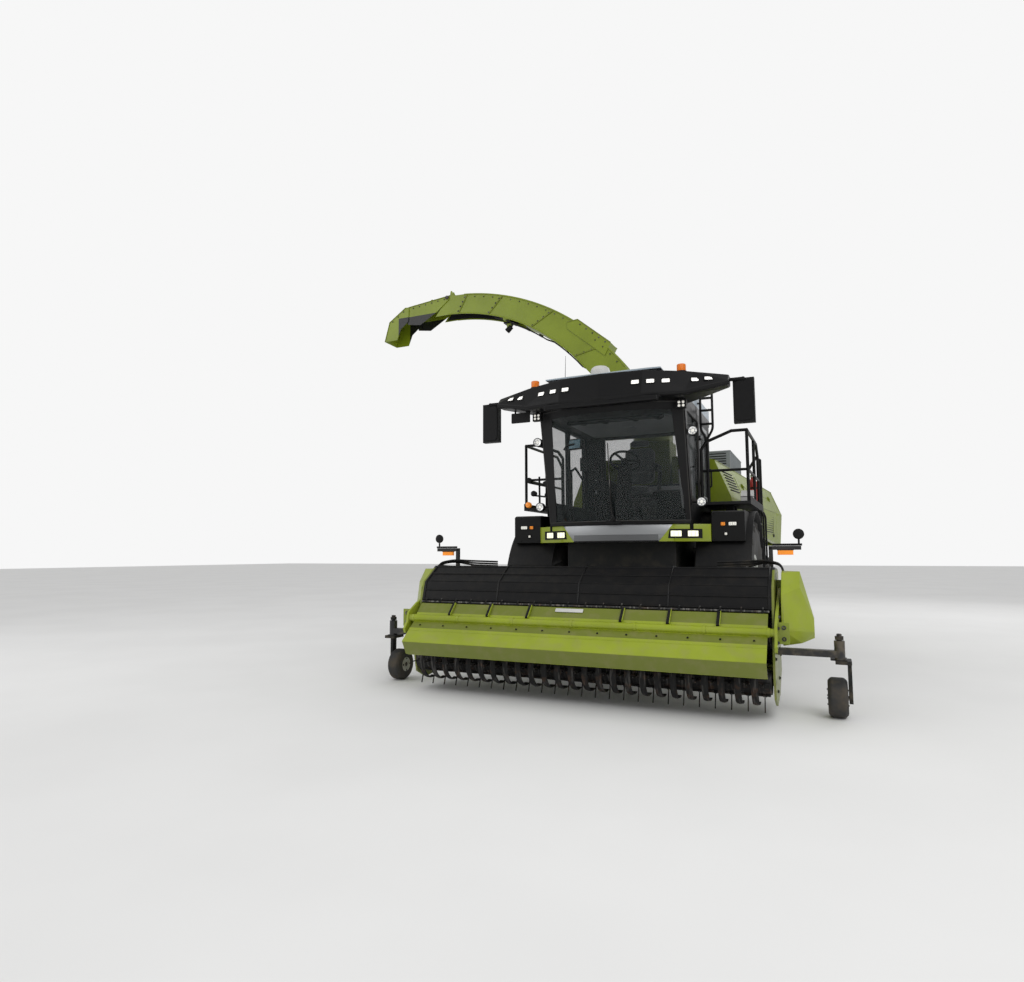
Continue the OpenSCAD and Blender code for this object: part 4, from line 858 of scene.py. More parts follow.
def cab_outside():
    piece = Piece("wiper", "chassis", PLASTIC, RUBBER, STEEL)
    foot, knee, top = on_screen(0.02, 1.925, 0.03), on_screen(0.02, 2.06, 0.05), on_screen(0.0, 2.24, 0.028)
    piece.lathe([(-0.03, 0.03), (0.012, 0.028), (0.02, 0.018)], foot, (1, 0, -0.2), 24)
    piece.block((1.275, -0.08, 1.868), (1.335, 0.11, 1.905))
    piece.tube([foot, knee, top], 0.011, 10, flat=0.6, bend=0.06)
    blade = [on_screen(0.002 * i, 1.99 + 0.085 * i, 0.012) for i in range(11)]
    piece.tube(blade, 0.006, 8, 1)
    piece.tube([on_screen(p[1], p[2], 0.02) for p in blade[1:-1]], 0.004, 6, 2)
    for k in (2, 5, 8):
        piece.tube([blade[k], on_screen(blade[k][1], blade[k][2], 0.03)], 0.006, 6)
    piece.done(0.001)

    # Black edges of the screen, wider towards the top
    piece = Piece("screen_edges", "chassis", BLACK)
    heights = [SCREEN_LOW + SCREEN_TALL * i / 16 for i in range(17)]
    for side, inside in ((1, 0.855), (-1, 0.80)):
        rings = []
        for i, z in enumerate(heights):
            inner = side * (inside - 0.085 * i / 16)
            rings.append(strip(on_screen, (inner, z), (side * 0.904, z), 0.001, 0.004)[::side])
        piece.rings(rings)
    piece.done()

    piece = pair("screen_seal", "chassis", RUBBER)
    piece.tube([on_screen(SCREEN_EDGE, z) for z in heights], 0.008, 8)
    piece.done()
    piece = Piece("screen_seal_ends", "chassis", RUBBER, PLASTIC)
    for z in (1.903, 3.292):
        piece.tube([on_screen(SCREEN_EDGE * (i / 12 - 1), z) for i in range(25)], 0.009, 8)
    # Dark sun band along the top of the glass
    rings = []
    for i in range(25):
        y = 0.89 * (i / 12 - 1)
        rings.append(strip(on_screen, (y, 3.20), (y, 3.285), 0.0015, 0.003))
    piece.rings(rings, 1)
    piece.done()

    piece = pair("side_window_seals", "chassis", RUBBER, matrix=WALL)
    z0, z1 = WINDOW_LOW - CAB_Z, WINDOW_HIGH - CAB_Z
    middle = (z0 + z1) / 2
    x1, x2 = front_at(WINDOW_LOW) - 0.11, front_at(WINDOW_HIGH) - 0.11
    line = [(0.46, middle), (0.46, z0), (x1, z0), (x2, z1), (0.46, z1), (0.46, middle)]
    piece.tube([(x, z, -0.012) for x, z in line], 0.009, 8, bend=0.05)
    piece.done()

    # Door: seal, long handle outside, latch
    piece = Piece("door_fittings", "door_left", RUBBER, PLASTIC, CHROME, matrix=WALL)
    rim = 0.055
    a, b = -0.26 + rim, 0.38 - rim
    line = [(a, middle), (a, z0 + rim), (b, z0 + rim), (b, z1 - rim), (a, z1 - rim), (a, middle)]
    piece.tube([(x, z, -0.010) for x, z in line], 0.008, 8, bend=0.06)
    piece.tube([(-0.225, 0.62, 0.0), (-0.225, 0.62, 0.05), (-0.225, 0.86, 0.05), (-0.225, 0.86, 0.0)], 0.013, 12, 1,
               bend=0.03)
    piece.slab(0.05, 0.10, 0.012, 0.006, shift(-0.225, 0.54, 0), 1)
    piece.lathe([(0, 0.014), (0.012, 0.013)], (-0.225, 0.53, 0.004), UP, 20, 2)
    piece.done(0.001)

    # Light panel inside the left rear corner, with a curved dark handle
    piece = Piece("corner_trim", "chassis", PANEL, PLASTIC)
    outer = HALF - 0.06
    for low, high in ((2.10, 2.62), (2.64, 3.22)):
        piece.rings([
            [(0.43, outer, low), (0.40, outer, low), (0.30, 0.66, low), (0.32, 0.66, low)],
            [(0.43, outer, high), (0.40, outer, high), (0.30, 0.62, high), (0.32, 0.62, high)],
        ])
    piece.tube([(0.37, 0.72, 2.42), (0.44, 0.72, 2.45), (0.46, 0.735, 2.66), (0.44, 0.715, 2.88),
                (0.37, 0.71, 2.92)], 0.014, 12, 1, bend=0.08)
    piece.done(0.006)

    # Aerial, receiver dome and seam on the roof
    piece = Piece("antenna", "chassis", PLASTIC)
    piece.lathe([(0, 0.03), (0.02, 0.026), (0.04, 0.012), (0.07, 0.008), (0.09, 0.004), (0.44, 0.0022)],
                (1.15, -0.66, 3.672), (-0.08, 0, 1), 16)
    piece.done()
    piece = Piece("roof_dome", "chassis", WHITE, PLASTIC)
    piece.lathe([(-0.04, 0.128), (0.012, 0.126)], (1.5, -0.07, 3.66), sides=48, mat=1)
    piece.lathe([(0.0, 0.122), (0.07, 0.119), (0.10, 0.108), (0.12, 0.085), (0.132, 0.045), (0.135, 0.005)],
                (1.5, -0.07, 3.67), sides=48)
    piece.done(slot="roof_grey")
    piece = Piece("roof_seams", "chassis", PLASTIC)
    piece.tube([(1.19, y, 3.53 + 0.10 * (1 - (y / 0.9) ** 4)) for y in (i / 12 * 0.9 - 0.9 for i in range(25))],
               0.006, 6)
    piece.done()


def cab_inside():
    piece = Piece("cab_fittings", "chassis", PLASTIC, PANEL, SCREEN, BLACK, CHROME)
    # Monitor's shell and its lit face
    m = plane((0.609, -0.51, 2.72), BEHIND)
    piece.slab(0.25, 0.17, 0.02, 0.004, m, 3)
    piece.slab(0.22, 0.14, 0.01, 0.0055, m, 2)
    m = plane((0.642, -0.51, 2.72), AHEAD)
    piece.slab(0.20, 0.12, 0.02, 0.014, m)
    for i in range(5):
        piece.slab(0.12, 0.006, 0.0025, 0.018, m @ shift(0, 0.032 - 0.016 * i, 0), 3)
    # Second monitor on the right pillar
    m = plane((0.80, -0.66, 2.98), (-1, 0.35, -0.1))
    piece.slab(0.22, 0.15, 0.02, 0.03, m)
    piece.slab(0.19, 0.12, 0.01, 0.032, m, 2)
    piece.tube([(0.80, -0.66, 2.98), (0.83, -0.76, 2.96), (0.84, -0.80, 2.90)], 0.014, 10, bend=0.06)
    # Headliner with its vents and lamp, sun blind's roller
    piece.slab(1.25, 1.40, 0.12, 0.02, shift(0.38, 0, 3.226), 1)
    for y in (-0.5, -0.2, 0.2, 0.5):
        piece.lathe([(0, 0.045), (-0.012, 0.04), (-0.02, 0.02)], (0.88, y, 3.226), sides=28, mat=0)
    piece.slab(0.22, 0.12, 0.02, 0.012, shift(0.35, 0, 3.215), 1)
    piece.span(1.16, 3.19, 0.62, 0.028, 16)
    # Shelf and console behind the seat
    piece.block((-0.39, -0.70, 2.40), (-0.22, 0.70, 2.46), 1)
    piece.slab(0.30, 0.42, 0.05, 0.02, shift(-0.28, -0.50, 2.46))
    # Levers on the steering column
    piece.tube([(0.70, 0.0, 2.66), (0.70, 0.11, 2.68), (0.69, 0.21, 2.70)], 0.010, 8, 3, bend=0.06)
    piece.tube([(0.70, 0.0, 2.66), (0.70, -0.11, 2.68), (0.69, -0.19, 2.69)], 0.010, 8, 3, bend=0.06)
    # Joystick's grip and a row of switches on the armrest
    piece.rings([
        [(0.55 + dx + r * math.cos(a), -0.39 + 0.8 * r * math.sin(a), z) for a in around(16)]
        for z, r, dx in ((2.60, 0.022, -0.005), (2.63, 0.032, -0.002), (2.67, 0.035, 0.004), (2.71, 0.033, 0.012),
                         (2.735, 0.024, 0.018), (2.742, 0.008, 0.02))
    ], 3)
    for i in range(6):
        piece.slab(0.028, 0.018, 0.004, 0.006, shift(0.43 + 0.036 * i, -0.36, 2.489), 3)
        piece.lathe([(0, 0.009), (0.012, 0.008)], (0.43 + 0.036 * i, -0.43, 2.489), sides=14, mat=4)
    # Pedals
    for y in (0.13, 0.24):
        piece.slab(0.09, 0.17, 0.02, 0.014, plane((0.93, y, 2.02), (-1, 0, 0.6)), 3)
        piece.tube([(0.94, y, 2.02), (1.0, y, 1.94)], 0.012, 8, 3)
    # Armrest's pad
    piece.slab(0.42, 0.15, 0.05, 0.03, shift(0.17, -0.39, 2.489), 3)
    piece.done(0.002)

    piece = Piece("seat_base", "chassis", RUBBER, PLASTIC, BLACK)
    # Bellows over the seat's base, and the left armrest
    for i in range(6):
        inset = 0.01 * (i % 2)
        piece.slab(0.46 - inset, 0.50 - inset, 0.05, 0.045, shift(0.15, 0, 1.96 + 0.05 * i))
    piece.tube([(-0.10, 0.27, 2.40), (-0.13, 0.29, 2.66), (0.22, 0.29, 2.66)], 0.028, 12, 2, bend=0.06)
    piece.tube([(-0.02, 0.30, 2.70), (0.26, 0.30, 2.70)], 0.036, 14, 1)
    piece.done(0.004)


# What shapes a pad, in metres: most that the cloth moves, crown, depth and width of a channel
MOST_MOVE, CROWN, CHANNEL_DEPTH, CHANNEL_WIDTH = 0.014, 0.016, 0.014, 0.012


def pad(name, outline, thick, place, channels):
    """A crowned seat pad, blown up as cloth, with sewn channels pressed in afterwards."""
    piece = bmesh.new()
    low = [piece.verts.new(place @ Vector((x, y, 0.012))) for x, y in outline]
    high = [piece.verts.new(place @ Vector((x, y, thick - 0.02))) for x, y in outline]
    piece.faces.new(reversed(low))
    piece.faces.new(high)
    for i in range(len(low)):
        j = (i + 1) % len(low)
        piece.faces.new((low[i], low[j], high[j], high[i]))
    bmesh.ops.translate(piece, verts=piece.verts, vec=ORIGIN)
    mesh = bpy.data.meshes.new(name)
    piece.to_mesh(mesh)
    piece.free()
    cushion = bpy.data.objects.new(name, mesh)
    bpy.context.scene.collection.objects.link(cushion)
    bpy.context.view_layer.objects.active = cushion
    voxels = cushion.modifiers.new("voxels", "REMESH")
    voxels.mode = "VOXEL"
    voxels.voxel_size = 0.012
    bpy.ops.object.modifier_apply(modifier="voxels")
    rest = [v.co.copy() for v in cushion.data.vertices]
    cloth = cushion.modifiers.new("cloth", "CLOTH")
    cloth.settings.use_pressure = True
    cloth.settings.uniform_pressure_force = 4.0
    cloth.settings.effector_weights.gravity = 0.0
    scene = bpy.context.scene
    for step in range(1, 13):
        scene.frame_set(step)
    bpy.ops.object.modifier_apply(modifier="cloth")
    scene.frame_set(1)
    to_pad = (Matrix.Translation(ORIGIN) @ place).inverted()
    back = to_pad.inverted()
    half_w = max(abs(x) for x, _ in outline)
    half_l = max(abs(y) for _, y in outline)
    for v, start in zip(cushion.data.vertices, rest):
        move = v.co - start
        if move.length > MOST_MOVE:
            v.co = start + move * (MOST_MOVE / move.length)
        p = to_pad @ v.co
        # Crown in the middle of the upper face, with a channel sunk at each seam
        if p.z > thick * 0.5:
            crown = max(0.0, 1 - (p.x / half_w) ** 2) * max(0.0, 1 - (p.y / half_l) ** 2)
            p.z += CROWN * crown
            for along, value in channels:
                gap = abs((p.x if along == "x" else p.y) - value)
                p.z -= CHANNEL_DEPTH * math.exp(-(gap / CHANNEL_WIDTH) ** 2)
        v.co = back @ p
    for face in cushion.data.polygons:
        face.use_smooth = True
    cushion.modifiers.new("subdivision", "SUBSURF").levels = 1
    cushion.modifiers["subdivision"].render_levels = 1
    cushion.data.materials.append(CUSHION)
    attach(cushion, "chassis")
    return cushion


def seat():
    tilt = shift(-0.09, 0, 2.46) @ Matrix.Rotation(math.radians(-8), 4, "Y")

    def on_back(ahead, height):
        """A matrix on the backrest whose Z looks forward, whose Y runs to the side and whose X runs up."""
        return tilt @ Matrix(((0, 0, 1, ahead), (0, 1, 0, 0), (1, 0, 0, height), (0, 0, 0, 1)))

    seams = [("y", 0.13), ("y", -0.13)]
    lower = pad("seat_pad", rounded(0.44, 0.46, 0.08), 0.10, shift(0.17, 0, 2.325), seams)
    upper = pad("back_pad", rounded(0.54, 0.45, 0.10), 0.095, on_back(-0.028, 0.29),
                seams + [("x", -0.10), ("x", 0.06)])
    head = pad("head_pad", rounded(0.09, 0.26, 0.035), 0.085, on_back(-0.02, 0.622), [])
    for cushion in (lower, upper, head):
        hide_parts("seat_cushions")


cab_lamps()
cab_outside()
cab_inside()
seat()


# Dressing of the header, the hood, the spout, the platforms and the wheels

SPOUT_X = -1.0
SPOUT = shift(SPOUT_X, 0, 0) @ Matrix.Rotation(math.radians(-90), 4, "Z")
COVER_FOLDS = (Vector((2.335, 0, 1.37)), Vector((2.6, 0, 1.19)), Vector((2.66, 0, 0.98)))
REEL_X, REEL_Z, TINE_START, TINE_GAP = 2.69, 0.34, -1.80, 0.144
TUBE_X, TUBE_Z = 2.84, 0.80
MARKER_X = 1.89
CASTER_X, CASTER_Z = 2.30, 0.18


def header_dressing():
    piece = Piece("cover_ribs", "header", BLACK)
    # Pressed ridges along the cover, its fold and lower lip
    a, b, c = COVER_FOLDS
    ridges = ((a, b, 0.06, 0.009), (a, b, 0.5, 0.012), (a, b, 0.94, 0.009), (b, c, 0.42, 0.010), (b, c, 0.93, 0.010))
    for p, q, t, r in ridges:
        m = p.lerp(q, t)
        piece.span(m.x, m.z, 1.865, r, 10)
    for y in (-1.855, -0.93, 0.0, 0.93, 1.855):
        piece.tube([(2.0, y, 1.352), (2.335, y, 1.373), (2.6, y, 1.193), (2.658, y, 0.99)], 0.010, 8)
    piece.done(slot="black")

    piece = Piece("crop_rod", "header", STEEL, PLASTIC)
    piece.span(2.69, 0.972, 1.86, 0.011, 12)
    for i in range(20):
        y = -1.805 + 0.19 * i
        piece.prism([(2.645, 1.0), (2.66, 1.004), (2.708, 0.978), (2.704, 0.954), (2.68, 0.954)], 0.018,
                    sideways(y - 0.009), 1)
        piece.hex((2.664, y, 1.0), (0.96, 0, 0.27), 0.013, 0.008)
    piece.done(0.002, slot="worn_steel")

    piece = Piece("guard_ribs", "press", BLACK, GREEN_PAINTED_LIGHT, WHITE, PLASTIC)
    # Ribs on the plate behind the tube, each edged with a strip of the green's lighter copy as a painted highlight
    for y in (0.5, 0.96, 1.42):
        for s in (-1, 1):
            shape = [(2.705, 0.956), (2.722, 0.968), (2.836, 0.852), (2.826, 0.828)]
            piece.prism(shape, 0.03, sideways(s * y - 0.015))
            piece.prism([(p + 0.003, q + 0.003) for p, q in shape], 0.006, sideways(s * y + 0.014), 1)
    # Blank plate in the middle
    piece.slab(0.30, 0.045, 0.006, 0.004, plane((2.742, -0.06, 0.926), (0.72, 0, 0.69)), 2)
    # Collars of the press tube and folded edges in the green's lighter copy as painted highlights, and fixings of the
    # flap
    for y in (-1.86, -1.30, -0.65, 0.0, 0.65, 1.30, 1.86):
        piece.lathe([(-0.012, 0.0385), (-0.012, 0.043), (0.012, 0.043), (0.012, 0.0385)], (TUBE_X, y, TUBE_Z), LEFT,
                    28, 1, caps=False)
    for x, z, r in ((2.85, 0.778, 0.006), (2.976, 0.678, 0.007), (2.988, 0.424, 0.008)):
        piece.span(x, z, 1.848, r, 8, 1)
    for i in range(13):
        y = -1.74 + 0.29 * i
        piece.hex((2.915, y, 0.732), (0.6, 0, 0.8), 0.014, 0.007, 3)
        piece.hex((3.066, y, 0.523), (0.87, 0, -0.49), 0.014, 0.007, 3)
    piece.done(0.0015, slot="green_bright")

    piece = pair("guard_arm_fixings", "press", STEEL, GREEN)
    for x, z in ((2.16, 1.125), (2.42, 1.02), (2.66, 0.925), (2.83, 0.84), (2.885, 0.72)):
        piece.hex((x, 1.935, z), LEFT, 0.026, 0.014)
    # Plate of the tube's end with its two holes' bushes
    piece.prism([(2.79, 0.70), (2.81, 0.70), (2.81, 0.89), (2.79, 0.89)], 0.10, sideways(1.93), 1)
    for z in (0.745, 0.845):
        piece.lathe([(0, 0.020), (0.008, 0.018), (0.008, 0.009), (0.0, 0.008)], (2.81, 1.985, z), AHEAD, 20,
                    caps=False)
    piece.done(0.002)

    # Bands between the tines of the pickup, open at the back
    piece = Piece("pickup_bands", "header", TINES)
    section = ((-0.030, 0.196), (0.030, 0.196), (0.030, 0.203), (0.010, 0.209), (-0.010, 0.209), (-0.030, 0.203))
    for i in range(25):
        y = TINE_START + TINE_GAP * (i + 0.5)
        rings = []
        for k in range(25):
            turn = math.radians(112 - 218 * k / 24)
            x, z = math.cos(turn), math.sin(turn)
            rings.append([(REEL_X + r * x, y + w, REEL_Z + r * z) for w, r in section])
        piece.rings(rings)
    piece.done(smooth=50, slot="worn_steel")

    piece = Piece("tine_coils", "reel_rotor", TINES)
    for turn in around(5):
        centre = Vector((REEL_X, 0, REEL_Z)) + 0.118 * Vector((math.cos(-turn), 0, math.sin(-turn)))
        for i in range(26):
            y = TINE_START + TINE_GAP * i
            for k in range(3):
                spot = centre + Vector((0, y + 0.011 * (k - 1), 0))
                piece.lathe([(-0.004, 0.014), (0, 0.019), (0.004, 0.014)], spot, LEFT, 10)
        piece.tube([centre + Vector((0, -1.85, 0)), centre + Vector((0, 1.85, 0))], 0.012, 8)
    piece.done(slot="worn_steel")

    piece = pair("width_markers", "header", PLASTIC, AMBER, BLACK)
    piece.slab(0.05, 0.28, 0.01, 0.022, shift(MARKER_X, 2.0, 1.582), 2)
    piece.slab(0.045, 0.15, 0.012, 0.05, shift(MARKER_X, 1.98, 1.489), 1)
    piece.slab(0.052, 0.16, 0.012, 0.006, shift(MARKER_X, 1.98, 1.535))
    piece.tube([(MARKER_X, 2.11, 1.60), (MARKER_X, 2.11, 1.65)], 0.010, 10, 2)
    spot = (MARKER_X, 2.11, 1.70)
    piece.lathe([(-0.014, 0.04), (-0.010, 0.052), (0.008, 0.054), (0.014, 0.048)], spot, AHEAD, 36, 2)
    piece.lathe([(0.014, 0.044), (0.018, 0.036), (0.019, 0.01)], spot, AHEAD, 36)
    piece.hex((1.911, 1.84, 1.56), AHEAD, 0.018, 0.01)
    piece.done(0.002)

    piece = pair("header_pipes", "header", HOSE, STEEL)
    for k in range(3):
        d = 0.026 * k
        piece.tube([(1.86, 1.30, 1.36 + d), (1.90, 1.62, 1.37 + d), (2.02 + d, 1.80, 1.415 + 0.4 * d),
                    (2.10 + d, 1.95, 1.39 + 0.2 * d), (2.12 + d, 1.975, 1.27)], 0.011, 10, bend=0.09)
        piece.lathe([(-0.03, 0.015), (0.0, 0.017), (0.03, 0.015)], (2.12 + d, 1.975, 1.29), UP, 12, 1)
    piece.slab(0.10, 0.05, 0.01, 0.02, shift(1.905, 1.60, 1.35), 1)
    piece.done(0.001)

    piece = pair("side_cover_trim", "header", GREEN_PAINTED_SHADE, PLASTIC)
    # Seam of the lid in the green's darker copy as painted shade, its latch and bolts on the end plate
    piece.tube([(2.03, 1.965, 0.68), (2.03, 1.968, 1.27), (2.2, 1.97, 1.325), (2.31, 1.968, 1.31),
                (2.53, 1.967, 1.11), (2.572, 1.967, 0.80), (2.42, 1.966, 0.645)], 0.006, 8)
    piece.slab(0.08, 0.05, 0.012, 0.014, plane((2.40, 2.055, 0.98), (0.55, 0.83, 0.0)), 1)
    for x, z in ((2.0, 0.5), (2.0, 0.9), (2.3, 0.32), (2.56, 0.24), (2.70, 0.55)):
        piece.hex((x, 1.90, z), LEFT, 0.026, 0.012, 1)
    piece.done(0.002)

    for side, sign in SIDES:
        piece = Piece("caster_trim_" + side, "caster_" + side, PLASTIC, STEEL, matrix=mirrored(sign))
        piece.slab(0.20, 0.14, 0.02, 0.010, shift(2.36, 2.42, 0.532))
        piece.hex((2.42, 2.43, 0.745), UP, 0.05, 0.024, 1)
        piece.tube([(CASTER_X, 2.505, 0.50), (CASTER_X, 2.505, 0.19)], 0.014, 10)
        piece.hex((CASTER_X, 2.500, CASTER_Z), LEFT, 0.04, 0.018, 1)
        piece.done(0.003)
        piece = Piece("caster_hub_" + side, "caster_wheel_" + side, STEEL, RIM, matrix=mirrored(sign))
        low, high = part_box("gauge_wheel_" + side)
        middle = abs((low.y + high.y) / 2 - ORIGIN.y)
        for s in (-1, 1):
            face = (CASTER_X, middle + s * 0.076, CASTER_Z)
            disc = [(0, 0.085), (0.006, 0.082), (0.010, 0.06), (0.004, 0.05), (0.004, 0.026)]
            piece.lathe(disc, face, (0, s, 0), 32, 1, caps=False)
            for spot in circle((CASTER_X, middle + s * 0.084, CASTER_Z), 0.068, 4):
                piece.hex(spot, (0, s, 0), 0.016, 0.007)
        piece.done(0.001)


HOOD_FRONT, HOOD_REAR = 0.62, 4.90
# Edges of the hood's flank: distance from the middle at the front, what it gains to the rear, and height likewise
SILL, WAIST, SHOULDER = (1.22, 0.36, 1.95, -0.30), (1.18, 0.44, 2.30, -0.05), (0.96, 0.48, 2.85, -0.16)


def hood_point(x, z, lower, upper):
    """A point on the hood's flank between two of its edges."""
    t = (-x - HOOD_FRONT) / (HOOD_REAR - HOOD_FRONT)
    (low_y, low_z), (high_y, high_z) = [(y + dy * t, base + dz * t) for y, dy, base, dz in (lower, upper)]
    s = (z - low_z) / (high_z - low_z)
    return (x, low_y + (high_y - low_y) * s, z)


def hood_side(x, z):
    return hood_point(x, z, SILL, WAIST)


def hood_upper(x, z):
    return hood_point(x, z, WAIST, SHOULDER)


def raised(points, out):
    """The points, moved out to the left."""
    return [(x, y + out, z) for x, y, z in points]


def hood_dressing():
    for side, sign in SIDES:
        piece = Piece("hood_door_trim_" + side, "hood_side_" + side, PLASTIC, GREEN_PAINTED_SHADE, MESH, STEEL,
                      matrix=mirrored(sign))
        # Louvres in the lower side, with a dark grille behind them and a frame in the green's darker copy as painted
        # shade
        for x0, x1 in ((-2.75, -2.05), (-3.95, -3.15)):
            columns = [x0 + (x1 - x0) * i / 4 for i in range(5)]
            rings = []
            for x in columns:
                low, high = hood_side(x, 1.86), hood_side(x, 2.18)
                rings.append(raised([low], 0.001) + raised([low, high], 0.004) + raised([high], 0.001))
            piece.rings(rings, 2)
            for k in range(8):
                z = 1.885 + 0.038 * k
                piece.tube(raised([hood_side(x, z) for x in columns], 0.006), 0.010, 8, flat=0.5)
            frame_line = [hood_side(x0, 1.86), hood_side(x1, 1.86), hood_side(x1, 2.18), hood_side(x0, 2.18)]
            piece.tube(raised(frame_line, 0.005), 0.008, 8, 1, closed=True)
        # Waist line in the green's darker copy as painted shade, latches
        piece.tube(raised([hood_upper(-1.68, 2.285), hood_upper(-4.28, 2.262)], 0.003), 0.007, 8, 1)
        for x in (-1.95, -4.0):
            p = hood_side(x, 1.83)
            piece.slab(0.10, 0.06, 0.014, 0.012, plane((p[0], p[1] + 0.001, 1.83), (0.09, 1, 0.02)))
            piece.lathe([(0, 0.018), (0.010, 0.016)], (p[0], p[1] + 0.012, 1.83), LEFT, 20, 3)
        piece.done(0.001, slot="green")

    piece = pair("hood_seams", "chassis", GREEN_PAINTED_SHADE, PLASTIC)
    # Folded edges along the shoulder and upright seams in the green's darker copy as painted shade, vents in the
    # upper side ahead of the doors
    piece.tube([hood_upper(-0.64, 2.845), hood_upper(-4.88, 2.695)], 0.010, 8)
    for k in range(7):
        z = 2.42 + 0.045 * k
        piece.tube(raised([hood_upper(-0.80, z), hood_upper(-1.40, z)], 0.004), 0.012, 8, 1, flat=0.5)
    for x in (-1.55, -4.80):
        piece.tube(raised([hood_upper(x, 2.32 + 0.09 * i) for i in range(5)], 0.002), 0.006, 6)
    piece.done(0.001, slot="green")

    piece = pair("rear_lamps", "chassis", PLASTIC, RED_LENS, AMBER, WHITE, GREEN_PAINTED_SHADE)
    lamp_faces(piece, -4.901, BEHIND, (
        (1.42, 2.16, 0.13, 0.11, 1, 3), (1.30, 2.16, 0.09, 0.11, 2, 3), (1.42, 1.98, 0.10, 0.10, 3, 2)
    ))
    piece.lathe([(0, 0.045), (0.008, 0.042), (0.010, 0.02)], (-4.90, 1.42, 2.40), BEHIND, 32, 1)
    # Lines across the rear in the green's darker copy as painted shade
    for z in (2.62, 1.72):
        piece.span(-4.903, z, 1.0, 0.006, 6, 4)
    piece.done(0.001)
    piece = Piece("rear_plate", "chassis", WHITE, PLASTIC, STEEL)
    # Blank number plate under the radiator screen, with its rivets
    piece.slab(0.34, 0.24, 0.012, 0.004, plane((-4.902, 0, 1.74 - 0.12), BEHIND), 1)
    piece.slab(0.32, 0.22, 0.010, 0.006, plane((-4.903, 0, 1.74 - 0.12), BEHIND))
    for y in (-0.11, 0.11):
        piece.lathe([(0, 0.008), (0.003, 0.006)], (-4.909, y, 1.70), BEHIND, 12, 2)
    piece.done(0.0008)

    piece = Piece("screen_mesh", "radiator_screen", MESH, PLASTIC)
    for s in (-1, 1):
        y0, y1 = (0.035, 1.085) if s > 0 else (-1.105, -0.035)
        for i in range(27):
            y = y0 + (y1 - y0) * i / 26
            piece.tube([(-4.872, y, 1.875), (-4.872, y, 2.465)], 0.0035, 6)
        for k in range(15):
            z = 1.88 + 0.0418 * k
            piece.tube([(-4.874, y0, z), (-4.874, y1, z)], 0.0035, 6)
    piece.tube([(-4.903, -0.9, 2.10), (-4.94, -0.9, 2.10), (-4.94, -0.9, 2.26), (-4.903, -0.9, 2.26)], 0.009, 10, 1,
               bend=0.02)
    piece.done()

    piece = Piece("air_box_ribs", "chassis", CASING, MESH)
    for i in range(12):
        x = -3.22 + 0.125 * i
        piece.tube([(x, 1.052, 2.84), (x, 1.052, 3.11)], 0.010, 8)
    piece.tube([(-3.295, 1.05, 3.13), (-1.755, 1.05, 3.13)], 0.012, 8)
    piece.tube([(-1.752, 0.54, 3.12), (-1.752, 1.03, 3.12)], 0.010, 8)
    for k in range(5):
        piece.tube([(-1.746, 0.58, 2.93 + 0.04 * k), (-1.746, 0.99, 2.93 + 0.04 * k)], 0.010, 8, 1, flat=0.5)
    piece.done()


# Arcs of the spout's back and belly, in its own plane: centre and radius
BACK, BELLY = (3.646, 2.070, 4.040), (3.720, 2.318, 3.455)


def spout_point(side_arc, angle, out=0.0):
    x, z, r = side_arc
    turn = math.radians(angle)
    return (x + (r + out) * math.cos(turn), z + (r + out) * math.sin(turn))


